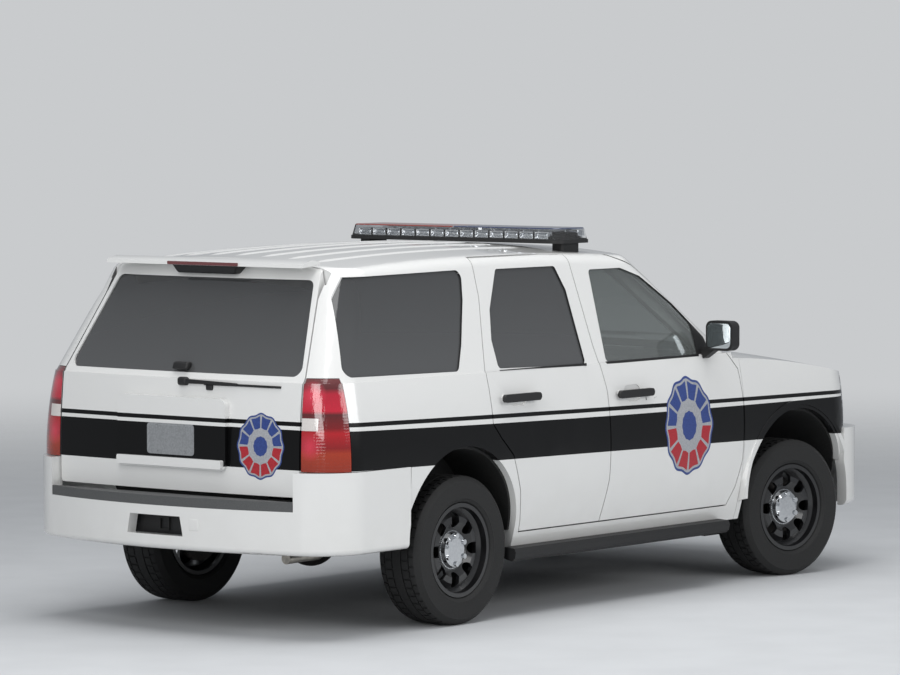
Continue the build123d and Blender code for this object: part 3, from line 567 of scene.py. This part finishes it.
def pane_shaded_to_roof(name, foot, head, **sockets):
    material, tree, shader = new_finish(name, IOR=1.5, Coat_Roughness=0.02, **sockets)
    where = add_node(tree, "ShaderNodeTexCoord", {}, {}).outputs["Object"]
    height = add_node(tree, "ShaderNodeSeparateXYZ", {}, {"Vector": where}).outputs["Z"]
    rise = add_node(
        tree, "ShaderNodeMapRange", {}, {"Value": height, "From Min": GLASS_Z[0], "From Max": GLASS_Z[1]}
    )
    # Painted shade: each pane darkens from foot to head, where the roof shades the cabin behind the glass.
    shade = add_node(tree, "ShaderNodeValToRGB", {}, {"Fac": rise.outputs["Result"]})
    shade.color_ramp.elements[0].color = linear(foot)
    shade.color_ramp.elements[1].color = linear(head)
    tree.links.new(shade.outputs["Color"], shader.inputs["Base Color"])
    return material


# Privacy glass lets little through and reads as smooth grey, with painted shade darkening it towards the
# roof.
privacy = pane_shaded_to_roof(
    "privacy_glass", "#5E5F60", "#4A4B4C", Roughness=0.04, Transmission_Weight=0.3, Coat_Weight=0.6
)
# Light tint shows the cabin through a faint green grey, with the same painted shade towards the roof.
light_glass = pane_shaded_to_roof(
    "lightly_tinted_glass", "#C4CAC8", "#AEB4B2", Roughness=0.02, Transmission_Weight=0.85, Coat_Weight=0.5
)
panes = [("quarter_glass", privacy, "tinted_glass"), ("liftgate_glass", privacy, "tinted_glass")]
panes += [("windshield", light_glass, "clear_glass")]
for side in ("left", "right"):
    panes += [(f"rear_door_glass_{side}", privacy, "tinted_glass")]
    panes += [(f"front_door_glass_{side}", light_glass, "clear_glass")]
for node, glass, slot in panes:
    pane = merged_copy(node, node + "_pane", [(glass, None)])

# Front wipers: two black pressed steel arms with rubber blades, parked low on the windshield
# and following its curve.
shield = bpy.data.objects["windshield_pane"]
bpy.context.view_layer.update()
WIPERS = [("left", 0.66, 0.08), ("right", 0.02, -0.56)]
WIPER_LIFT = 0.001
blades = []
for side, pivot_y, tip_y in WIPERS:
    for name, start_y, end_y, low_z, high_z, thick in (
        ("blade", pivot_y - 0.03, tip_y, 1.318, 1.328, 0.009),
        ("arm", pivot_y, (pivot_y + tip_y) / 2, 1.306, 1.320, 0.017),
    ):
        strip = new_block(f"wiper_{name}_{side}", (0, end_y, low_z), (thick, start_y, high_z))
        subdivided(strip, 8)
        for vertex in strip.data.vertices:
            hit, spot = shield.ray_cast((2.5, vertex.co.y, vertex.co.z), (-1, 0, 0))[:2]
            if not hit:
                raise RuntimeError("a wiper runs off the windshield")
            vertex.co.x += spot.x + WIPER_LIFT
        soften(strip, 0.002, 2)
        blades.append(strip)
blades = joined(blades, "front_wipers")
blades.data.materials.append(trim)
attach(blades, "body")

# Tyres: radial road tyres of black rubber, moulded with four grooves round the tread,
# cross grooves in the ribs and shoulders, and rings on the sidewall. The rubber is a dull,
# slightly uneven near-black.
rubber, tree, shader = new_finish("tyre_rubber", Roughness=0.72)
speckle(tree, shader, 4.0, "#141414", "#1F1F1F", 0.1)
SIDEWALL = [(225, 93), (236, 99), (242, 112), (252, 119), (258, 123), (264, 122), (300, 128.5), (334, 125)]
SIDEWALL += [(340, 126), (357, 114), (367, 103), (370, 92)]
TREAD = [78, 71, 32, 25]
TREAD_RADIUS = 371
BEAD_RADIUS = 223
BEAD_HALF = 60
GROOVE = 0.006
GROOVE_FROM = 366
CROSS_FROM = 362
CROSS_EVERY = 5
SEGMENTS = 240
section = [(r, -w) for r, w in SIDEWALL] + [(TREAD_RADIUS, -w) for w in TREAD]
section += [(r, -w) for r, w in reversed(section)]
section += [(BEAD_RADIUS, BEAD_HALF), (BEAD_RADIUS, -BEAD_HALF)]
bpy.ops.object.select_all(action="DESELECT")
bpy.ops.mesh.primitive_torus_add(
    major_segments=SEGMENTS, minor_segments=len(section), major_radius=0.3, minor_radius=0.06
)
tyre = bpy.context.active_object
tyre.name = "tyre_pattern"
for vertex in tyre.data.vertices:
    radius, across = section[vertex.index % len(section)]
    turn = math.tau * (vertex.index // len(section)) / SEGMENTS
    vertex.co = (radius / 1000 * math.cos(turn), across / 1000, radius / 1000 * math.sin(turn))


def in_groove(face):
    across = abs(face.center.y) * 1000
    ring = math.hypot(face.center.x, face.center.z) * 1000
    step = round((math.atan2(face.center.z, face.center.x) / math.tau) * SEGMENTS - 0.5) % SEGMENTS
    around = TREAD[1] < across < TREAD[0] or TREAD[3] < across < TREAD[2]
    shoulder = across > TREAD[0] and step % CROSS_EVERY == 0
    rib = TREAD[2] < across < TREAD[1] and step % CROSS_EVERY == 2
    return (ring > GROOVE_FROM and around) or (ring > CROSS_FROM and (shoulder or rib))


select_faces(tyre, in_groove)
bpy.ops.mesh.extrude_region()
bpy.ops.object.mode_set(mode="OBJECT")
for vertex in tyre.data.vertices:
    if vertex.select:
        ring = math.hypot(vertex.co.x, vertex.co.z)
        vertex.co.x *= (ring - GROOVE) / ring
        vertex.co.z *= (ring - GROOVE) / ring
turn_outward(tyre)
bpy.ops.object.shade_smooth_by_angle(angle=math.radians(25))
tyre.data.materials.append(rubber)

# Wheels: pressed steel in satin black enamel, with a polished chrome cap over the hub and its
# nuts. The front pair stand turned, as in the photograph. The enamel shows soft highlights
# round the windows, and the cap mirrors its surroundings.
steel, tree, shader = new_finish("black_wheel_enamel", Roughness=0.3, Coat_Weight=0.6, Coat_Roughness=0.1)
speckle(tree, shader, 6.0, "#121213", "#18181A", 0.02)
chrome, tree, shader = new_finish("polished_chrome", Metallic=1.0, Roughness=0.08)
speckle(tree, shader, 12.0, "#C9CBCE", "#D6D8DA", 0.005)
FRONT_AXLE = (1.572, 0.866, 0.800, -10)
REAR_AXLE = (-1.374, 0.851, 0.851, 0)
HUB_Z = 0.371
CAP_RADIUS = 0.094
CAP_FROM = 0.045
for axle, (x, y, pivot, steer) in (("front", FRONT_AXLE), ("rear", REAR_AXLE)):
    for side, sign in (("left", 1), ("right", -1)):
        at_pivot = Matrix.Translation((x, sign * pivot, HUB_Z))
        turned = at_pivot @ Matrix.Rotation(math.radians(steer), 4, "Z")
        placed = turned @ Matrix.Translation((0, sign * (y - pivot), 0))
        copy = tyre.copy()
        copy.data = tyre.data.copy()
        copy.data.transform(placed)
        copy.name = f"tyre_{axle}_{side}_tread"
        bpy.context.scene.collection.objects.link(copy)
        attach(copy, f"wheel_{axle}_{side}")
        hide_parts(f"tyre_{axle}_{side}")
        back = placed.inverted()

        def on_cap(centre, normal, back=back, sign=sign):
            local = back @ centre
            return math.hypot(local.x, local.z) < CAP_RADIUS and local.y * sign > CAP_FROM

        wheel = f"wheel_{axle}_{side}"
        rim = merged_copy(wheel, wheel + "_rim", [(steel, None), (chrome, on_cap)])
bpy.data.objects.remove(tyre)

# Tail lamps: moulded acrylic lenses on the rear corners, smoky red above, a pale reversing
# window in the middle and amber red at the foot. Small cells are bumped into the lens, and two
# painted highlights of brighter red stand in for the reflector bowls shining behind it. The high stop lamp
# has the same red.
LAMP_Z = (0.818, 1.262)
LAMP_BOWLS = [(-2.37, 0.835, 1.19), (-2.40, 0.835, 0.94)]
BOWL_HIGHLIGHT_RED = "#D8384E"
REVERSING_WHITE = "#DCD6D2"
REVERSING_Y = 0.868
REVERSING_Z = (1.045, 0.03)
LAMP_ZONES = [(0.0, "#8F2A12"), (0.2, "#A33317"), (0.26, "#8A1013"), (0.42, "#B0121D"), (0.47, "#7C0F14")]
LAMP_ZONES += [(0.62, "#5A1A1C"), (0.66, "#C01B33"), (0.84, "#B01A30"), (0.9, "#5E2326"), (1.0, "#6E3A3B")]
lamp, tree, shader = new_finish(
    "tail_lamp_acrylic", Roughness=0.12, IOR=1.49, Coat_Weight=1.0, Coat_Roughness=0.03
)
where = add_node(tree, "ShaderNodeTexCoord", {}, {}).outputs["Object"]
place = add_node(tree, "ShaderNodeSeparateXYZ", {}, {"Vector": where})
rise = add_node(
    tree,
    "ShaderNodeMapRange",
    {},
    {"Value": place.outputs["Z"], "From Min": LAMP_Z[0], "From Max": LAMP_Z[1]},
)
zones = add_node(tree, "ShaderNodeValToRGB", {}, {"Fac": rise.outputs["Result"]})
stops = zones.color_ramp.elements
while len(stops) < len(LAMP_ZONES):
    stops.new(0.5)
for stop, (position, hex_colour) in zip(stops, LAMP_ZONES):
    stop.position = position
    stop.color = linear(hex_colour)
cells = add_node(
    tree, "ShaderNodeTexVoronoi", {"feature": "F1"}, {"Vector": where, "Scale": 70, "Randomness": 0.2}
)
relief = add_node(
    tree, "ShaderNodeBump", {}, {"Height": cells.outputs["Distance"], "Strength": 0.4, "Distance": 0.002}
)
tree.links.new(relief.outputs["Normal"], shader.inputs["Normal"])
aside = add_node(tree, "ShaderNodeMath", {"operation": "ABSOLUTE"}, {0: place.outputs["Y"]})
inner = add_node(
    tree, "ShaderNodeMath", {"operation": "LESS_THAN"}, {0: aside.outputs["Value"], 1: REVERSING_Y}
)
level = add_node(
    tree,
    "ShaderNodeMath",
    {"operation": "COMPARE"},
    {0: place.outputs["Z"], 1: REVERSING_Z[0], 2: REVERSING_Z[1]},
)
reversing = add_node(
    tree,
    "ShaderNodeMath",
    {"operation": "MULTIPLY"},
    {0: inner.outputs["Value"], 1: level.outputs["Value"]},
)
folded = add_node(
    tree,
    "ShaderNodeCombineXYZ",
    {},
    {"X": place.outputs["X"], "Y": aside.outputs["Value"], "Z": place.outputs["Z"]},
)
lens_with_highlights = zones.outputs["Color"]
# Painted highlights: round each reflector bowl the lens colour is lifted to a bright pink-red, for the light
# the bowls send back.
for bowl in LAMP_BOWLS:
    away = add_node(
        tree, "ShaderNodeVectorMath", {"operation": "DISTANCE"}, {0: folded.outputs["Vector"], 1: bowl}
    )
    highlight_share = add_node(
        tree,
        "ShaderNodeMapRange",
        {},
        {"Value": away.outputs["Value"], "From Min": 0.02, "From Max": 0.075, "To Min": 0.85, "To Max": 0},
    )
    highlighted = add_node(
        tree,
        "ShaderNodeMix",
        {"data_type": "RGBA"},
        {"Factor": highlight_share.outputs["Result"], "A": lens_with_highlights, "B": linear(BOWL_HIGHLIGHT_RED)},
    )
    lens_with_highlights = highlighted.outputs["Result"]
colour = add_node(
    tree,
    "ShaderNodeMix",
    {"data_type": "RGBA"},
    {"Factor": reversing.outputs["Value"], "A": lens_with_highlights, "B": linear(REVERSING_WHITE)},
)
tree.links.new(colour.outputs["Result"], shader.inputs["Base Color"])
tail = merged_copy("tail_lamps", "tail_lamp_lenses", [(lamp, None)])
high_stop = merged_copy("stop_lamp", "stop_lamp_lens", [(lamp, None)])

# Light bar: a clear polycarbonate hood with its top tinted red on the left half and blue on the
# right, over a black tray on two feet, with a row of bright reflector modules along each side.
# The tinted tops are glossy and muted, and the clear sides show the modules.
red_top, tree, shader = new_finish("red_polycarbonate", Roughness=0.15, IOR=1.58, Coat_Weight=0.5)
speckle(tree, shader, 20.0, "#7E2F26", "#8A382E", 0.01)
blue_top, tree, shader = new_finish("blue_polycarbonate", Roughness=0.15, IOR=1.58, Coat_Weight=0.5)
speckle(tree, shader, 20.0, "#2F3854", "#38415F", 0.01)
clear, tree, shader = new_finish("clear_polycarbonate", Roughness=0.03, IOR=1.12, Transmission_Weight=0.95)
speckle(tree, shader, 30.0, "#E6E8EA", "#F0F2F4", 0.01)
hood_top = merged_copy(
    "light_bar_lens",
    "light_bar_hood",
    [
        (clear, None),
        (red_top, lambda c, n: n.z > 0.35 and c.y > 0),
        (blue_top, lambda c, n: n.z > 0.35 and c.y <= 0),
    ],
)
base = merged_copy("light_bar_base", "light_bar_tray", [(trim, None)])
BAR_X = -0.073
MODULE_FACE = 0.120
MODULE_PITCH = 0.098
MODULE_HALF = (0.02, 0.043)
MODULE_Z = (1.870, 1.908)
modules = []
for rank in range(-6, 7):
    for way in (-1, 1):
        y = rank * MODULE_PITCH
        x = BAR_X + way * MODULE_FACE
        low = (x - MODULE_HALF[0], y - MODULE_HALF[1], MODULE_Z[0])
        high = (x + MODULE_HALF[0], y + MODULE_HALF[1], MODULE_Z[1])
        module = new_block("lamp_module", low, high)
        select_faces(module, lambda face: face.normal.x * way > 0.9)
        bpy.ops.mesh.inset(thickness=0.004)
        bpy.ops.mesh.inset(thickness=0.009, depth=-0.016)
        bpy.ops.mesh.inset(thickness=0.003, depth=0.007)
        bpy.ops.object.mode_set(mode="OBJECT")
        modules.append(module)
modules = joined(modules, "light_bar_modules")
soften(modules, 0.001, 2)
modules.data.materials.append(chrome)
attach(modules, "body")

# Exterior mouldings: mirror shells, running boards and grille in grained black plastic, the
# bumper's step pad in grey thermoplastic rubber, dull and grainy, and clear headlamp lenses.
grey_pad, tree, shader = new_finish("grey_step_rubber", Roughness=0.6)
speckle(tree, shader, 3.0, "#4B4C4D", "#585959", 0.2)
for node in ("mirror_left", "mirror_right", "running_boards", "grille"):
    merged_copy(node, node + "_moulding", [(trim, None)])
merged_copy("step_pad", "step_pad_rubber", [(grey_pad, None)])
merged_copy("headlamps", "headlamp_lenses", [(clear, None)])

# Mirror glass: silvered glass with rounded corners, clipped into the back of each mirror
# shell. It mirrors what is behind with a faint cool tint.
silvered, tree, shader = new_finish("silvered_glass", Metallic=1.0, Roughness=0.03)
speckle(tree, shader, 40.0, "#B9C0C4", "#C3CACD", 0.002)
MIRROR_X = (0.7085, 0.7125)
MIRROR_Y = 1.068
MIRROR_HALF = 0.074
MIRROR_Z = (1.279, 1.411)
MIRROR_CORNER = 0.028
for side, sign in (("left", 1), ("right", -1)):
    low = (MIRROR_X[0], sign * MIRROR_Y - MIRROR_HALF, MIRROR_Z[0])
    high = (MIRROR_X[1], sign * MIRROR_Y + MIRROR_HALF, MIRROR_Z[1])
    glass = new_block(f"mirror_glass_{side}", low, high)
    select_edges_along_x(glass, 0.003)
    bpy.ops.mesh.bevel(offset=MIRROR_CORNER, segments=8)
    bpy.ops.object.mode_set(mode="OBJECT")
    soften(glass, 0.001, 2)
    glass.data.materials.append(silvered)
    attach(glass, f"front_door_{side}")

# Headlamp bowls: two bright aluminised reflectors behind each clear lens, moulded with a
# raised bulb shield in the middle.
HEADLAMP_Z = 0.925
HEADLAMP_BOWLS = [(0.690, 0.072), (0.825, 0.060)]
BOWL_DEPTH = 0.06
BOWL_SET_BACK = 0.075
bowls = []
lenses = bpy.data.objects["headlamp_lenses"]
bpy.context.view_layer.update()
for sign in (-1, 1):
    for y, radius in HEADLAMP_BOWLS:
        hit, spot = lenses.ray_cast((3.5, sign * y, HEADLAMP_Z), (-1, 0, 0))[:2]
        if not hit:
            raise RuntimeError("the headlamp lens isn't where its bowls should be")
        bpy.ops.object.select_all(action="DESELECT")
        bpy.ops.mesh.primitive_cone_add(
            vertices=40, radius1=0.02, radius2=radius, depth=BOWL_DEPTH, rotation=(0, math.pi / 2, 0)
        )
        bowl = bpy.context.active_object
        bowl.location = (spot.x - BOWL_SET_BACK, sign * y, HEADLAMP_Z)
        bpy.ops.object.transform_apply(location=True, rotation=True, scale=True)
        select_faces(bowl, lambda face: face.normal.x > 0.9)
        bpy.ops.mesh.inset(thickness=0.006)
        bpy.ops.mesh.inset(thickness=radius * 0.45, depth=-0.035)
        bpy.ops.mesh.inset(thickness=0.004, depth=0.02)
        bpy.ops.object.mode_set(mode="OBJECT")
        bowls.append(bowl)
bowls = joined(bowls, "headlamp_bowls")
soften(bowls, 0.002, 3)
bowls.data.materials.append(chrome)
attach(bowls, "body")

# Side and rear emblems: plain twelve-lobed rosettes printed on vinyl and laid on the paint.
# The silver has a faint metal sheen, and the blue and red are flat and even.
silver_print, tree, shader = new_finish("silver_printed_vinyl", Metallic=0.3, Roughness=0.4)
speckle(tree, shader, 8.0, "#A5A7AC", "#B7B9BD", 0.005)
blue_print, tree, shader = new_finish("blue_printed_vinyl", Roughness=0.35)
speckle(tree, shader, 8.0, "#2B3F7C", "#33498A", 0.005)
red_print, tree, shader = new_finish("red_printed_vinyl", Roughness=0.35)
speckle(tree, shader, 8.0, "#A3202A", "#B02833", 0.005)
LOBES = 12
LOBE_SWELL = 0.025
VINYL_LIFT = 0.0006
EMBLEMS = [
    ("front_door_right", (0.54, -2.0, 0.877), (0, 1, 0), (0.215, 0.255)),
    ("front_door_left", (0.54, 2.0, 0.877), (0, -1, 0), (0.215, 0.255)),
    ("liftgate", (-3.0, -0.545, 0.930), (1, 0, 0), (0.138, 0.158)),
]
for node, start, way, (half_wide, half_tall) in EMBLEMS:
    panel = bpy.data.objects[node + "_panel"]
    bpy.ops.object.select_all(action="DESELECT")
    bpy.ops.mesh.primitive_grid_add(x_subdivisions=144, y_subdivisions=20, size=2)
    emblem = bpy.context.active_object
    emblem.name = node + "_emblem"
    rings = []
    for face in emblem.data.polygons:
        turn = (face.center.x + 1) / 2
        rings.append((turn * LOBES % 1, turn, (face.center.y + 1) / 2))
    for vertex in emblem.data.vertices:
        turn = math.pi * (vertex.co.x + 1)
        reach = (vertex.co.y + 1) / 2 * (1 + LOBE_SWELL * math.cos(LOBES * turn))
        across = half_wide * reach * math.sin(turn)
        up = half_tall * reach * math.cos(turn)
        origin = Vector(start) + Vector((across * abs(way[1]), across * abs(way[0]), up))
        hit, spot = panel.ray_cast(origin, way)[:2]
        if not hit:
            raise RuntimeError("an emblem runs off its panel")
        vertex.co = spot - Vector(way) * VINYL_LIFT
    turn_outward(emblem)
    for finish in (silver_print, blue_print, red_print):
        emblem.data.materials.append(finish)
    for face, (beat, turn, ring) in zip(emblem.data.polygons, rings):
        upper = turn < 0.25 or turn > 0.75
        tint = 1 if upper else 2
        lobe = 0.55 < ring < 0.88 and 0.12 < beat < 0.88
        face.material_index = tint if lobe else 1 if ring > 0.94 or ring < 0.28 else 0
    inwards = sum(f.normal.dot(Vector(way)) for f in emblem.data.polygons)
    if inwards > 0:
        emblem.data.flip_normals()
    bpy.ops.object.shade_smooth()
    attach(emblem, node)

# Chassis: the ladder frame, floor, wheelhouses and arms in dull black chassis paint, the tank in
# black plastic, iron castings left rough, and the exhaust in stainless steel gone warm grey.
chassis, tree, shader = new_finish("chassis_paint", Roughness=0.65)
speckle(tree, shader, 8.0, "#161616", "#232322", 0.15)
iron, tree, shader = new_finish("cast_iron", Metallic=0.6, Roughness=0.6)
speckle(tree, shader, 5.0, "#3A3938", "#4C4845", 0.3)
stainless, tree, shader = new_finish("stainless_pipe", Metallic=1.0, Roughness=0.3)
speckle(tree, shader, 25.0, "#8E8A84", "#A8A39A", 0.03)
PAINTED = ("frame", "floor", "front_wheelhouses", "rear_wheelhouses", "bulkhead", "control_arms")
under = [(node, chassis, "chassis") for node in PAINTED]
under += [("fuel_tank", trim, "chassis")]
under += [(node, iron, "cast") for node in ("engine", "rear_axle", "drive_shaft")]
under += [("exhaust", stainless, "exhaust_steel")]
under += [(node, iron, "cast") for node in ("knuckle_left", "knuckle_right")]
for node, finish, slot in under:
    merged_copy(node, node + "_metal", [(finish, None)])

# Cabin: the dashboard and steering wheel are foam under a soft moulded black skin, matt and
# lightly grained, on a steel beam across the car.
skin_black, tree, shader = new_finish("slush_moulded_skin", Roughness=0.6)
speckle(tree, shader, 1.8, "#1B1B1C", "#262627", 0.1)
for node in ("dashboard", "steering_wheel"):
    merged_copy(node, node + "_skin", [(skin_black, None)])

# Seats: moulded foam under woven cloth, with raised bolsters and sewn channels, on black
# plastic bases. The front pair have headrests, and the rear bench is one wide cushion.
# The cloth is dull and fuzzy, with a light sheen at the edges.
cloth, tree, shader = new_finish("woven_seat_cloth", Roughness=0.9, Sheen_Weight=0.3)
speckle(tree, shader, 2.0, "#2B2C2E", "#3A3B3D", 0.3)
SEATS = [(-0.110, 0.520, 0.385, 1.420), (-0.110, 0.520, -0.385, 1.420), (-0.810, 1.240, 0.0, 1.330)]
CUSHION_Z = (0.700, 0.825)
BACK_FOOT_Z = 0.790
BACK_HALF = 0.055
BACK_LEAN = 0.150
BASE_Z = (0.545, 0.705)
PUFF = 0.016
BOLSTER = 0.022
BOLSTER_AT = 0.8
CHANNEL = 0.012
CHANNELS_AT = (0.2, 0.58)
EDGE_TUCK = 0.012
pads = []
bases = []
for x, width, y, top in SEATS:
    half = width / 2
    cushion = new_block("cushion", (x + 0.06, y - half, CUSHION_Z[0]), (x + 0.50, y + half, CUSHION_Z[1]))
    back = new_block("backrest", (x - BACK_HALF, y - half, BACK_FOOT_Z), (x + BACK_HALF, y + half, top))
    for pad, soft_axis, long_axis in ((cushion, 2, 0), (back, 0, 2)):
        subdivided(pad, 15)
        low = [min(v.co[i] for v in pad.data.vertices) for i in range(3)]
        high = [max(v.co[i] for v in pad.data.vertices) for i in range(3)]
        for vertex in pad.data.vertices:
            u = 2 * (vertex.co.y - y) / width
            v = 2 * (vertex.co[long_axis] - low[long_axis]) / (high[long_axis] - low[long_axis]) - 1
            face = (vertex.co[soft_axis] - low[soft_axis]) / (high[soft_axis] - low[soft_axis])
            edge = (1 - u**6) * (1 - v**6)
            bolster = BOLSTER * math.exp(-(((abs(u) - BOLSTER_AT) / 0.13) ** 2))
            channel = -CHANNEL * sum(math.exp(-(((abs(u) - at) / 0.025) ** 2)) for at in CHANNELS_AT)
            swell = PUFF * edge + (bolster + channel) * edge - EDGE_TUCK * (1 - edge)
            vertex.co[soft_axis] += (face - 0.25) * swell
            vertex.co.y -= EDGE_TUCK * (v * v) * (1 if u > 0 else -1) * (abs(u) > 0.95)
        if pad is back:
            for vertex in pad.data.vertices:
                rise = (vertex.co.z - BACK_FOOT_Z) / (top - BACK_FOOT_Z)
                vertex.co.x -= rise * BACK_LEAN - 0.050
        soften(pad, 0.010, 2)
        pads.append(pad)
    if width < 1:
        low = (x - 0.165, y - 0.125, top + 0.012)
        high = (x - 0.085, y + 0.125, top + 0.148)
        rest = new_block("headrest", low, high)
        soften(rest, 0.034, 6)
        pads.append(rest)
    low = (x + 0.03, y - half + 0.02, BASE_Z[0])
    high = (x + 0.44, y + half - 0.02, BASE_Z[1])
    base = new_block("seat_base", low, high)
    for vertex in base.data.vertices:
        if vertex.co.z < 0.6:
            vertex.co.x += 0.03 if vertex.co.x < x + 0.2 else -0.06
    soften(base, 0.015, 3)
    bases.append(base)
pads = joined(pads, "seat_cushions")
pads.data.materials.clear()
pads.data.materials.append(cloth)
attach(pads, "body")
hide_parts("seats")
bases = joined(bases, "seat_bases")
bases.data.materials.append(trim)
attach(bases, "body")

# Studio: a pale painted floor that fades into a pale surround, a broad soft lamp overhead,
# two weaker ones at the sides, and the photograph's long lens.
bpy.ops.object.select_all(action="DESELECT")
bpy.ops.mesh.primitive_plane_add(size=60, location=(0, 0, 0))
floor = bpy.context.active_object
floor.name = "studio_floor"
paper, tree, shader = new_finish("studio_floor_paint", Roughness=0.75)
where = speckle(tree, shader, 400.0, "#C6C8CA", "#CACCCE", 0.01)
FLOOR_FADE = (4.0, 17.0)
reach = add_node(tree, "ShaderNodeVectorMath", {"operation": "LENGTH"}, {0: where})
fade = add_node(
    tree,
    "ShaderNodeMapRange",
    {"interpolation_type": "SMOOTHSTEP"},
    {
        "Value": reach.outputs["Value"],
        "From Min": FLOOR_FADE[0],
        "From Max": FLOOR_FADE[1],
        "To Min": 1,
        "To Max": 0,
    },
)
tree.links.new(fade.outputs["Result"], shader.inputs["Alpha"])
floor.data.materials.append(paper)
world = bpy.data.worlds.new("studio_light")
bpy.context.scene.world = world
world.use_nodes = True
background = world.node_tree.nodes["Background"]
background.inputs["Strength"].default_value = 1.0
rays = add_node(world.node_tree, "ShaderNodeLightPath", {}, {})
seen = rays.outputs["Is Camera Ray"]
surround = add_node(
    world.node_tree,
    "ShaderNodeMix",
    {"data_type": "RGBA"},
    {"Factor": seen, "A": linear("#9A9DA1"), "B": linear("#C9CBCD")},
)
world.node_tree.links.new(surround.outputs["Result"], background.inputs["Color"])
for name, spot, turn, size, power in (
    ("top_softbox", (-1.0, -1.0, 7.5), (0, 0, 0), (9.0, 6.0), 430),
    ("rear_softbox", (-9.0, -3.0, 4.2), (0, math.radians(-66), math.radians(18)), (6.0, 3.0), 270),
    ("side_softbox", (0.5, -9.5, 4.0), (math.radians(68), 0, 0), (8.0, 3.0), 270),
):
    softbox = bpy.data.lights.new(name, "AREA")
    softbox.shape = "RECTANGLE"
    softbox.size, softbox.size_y = size
    softbox.energy = power
    stand = bpy.data.objects.new(name, softbox)
    stand.location = spot
    stand.rotation_euler = turn
    bpy.context.scene.collection.objects.link(stand)
camera = bpy.data.objects.new("camera", bpy.data.cameras.new("camera"))
camera.data.lens = 180
camera.data.sensor_width = 36
camera.data.clip_end = 400
camera.location = (-18.8513, -14.5526, 2.6511)
CAMERA_TURN = math.radians(38.004)
CAMERA_DIP = math.radians(3.173)
looking = Vector(
    (
        math.cos(CAMERA_DIP) * math.cos(CAMERA_TURN),
        math.cos(CAMERA_DIP) * math.sin(CAMERA_TURN),
        -math.sin(CAMERA_DIP),
    )
)
camera.rotation_euler = looking.to_track_quat("-Z", "Y").to_euler()
bpy.context.scene.collection.objects.link(camera)
bpy.context.scene.camera = camera
bpy.context.scene.view_settings.view_transform = "Standard"
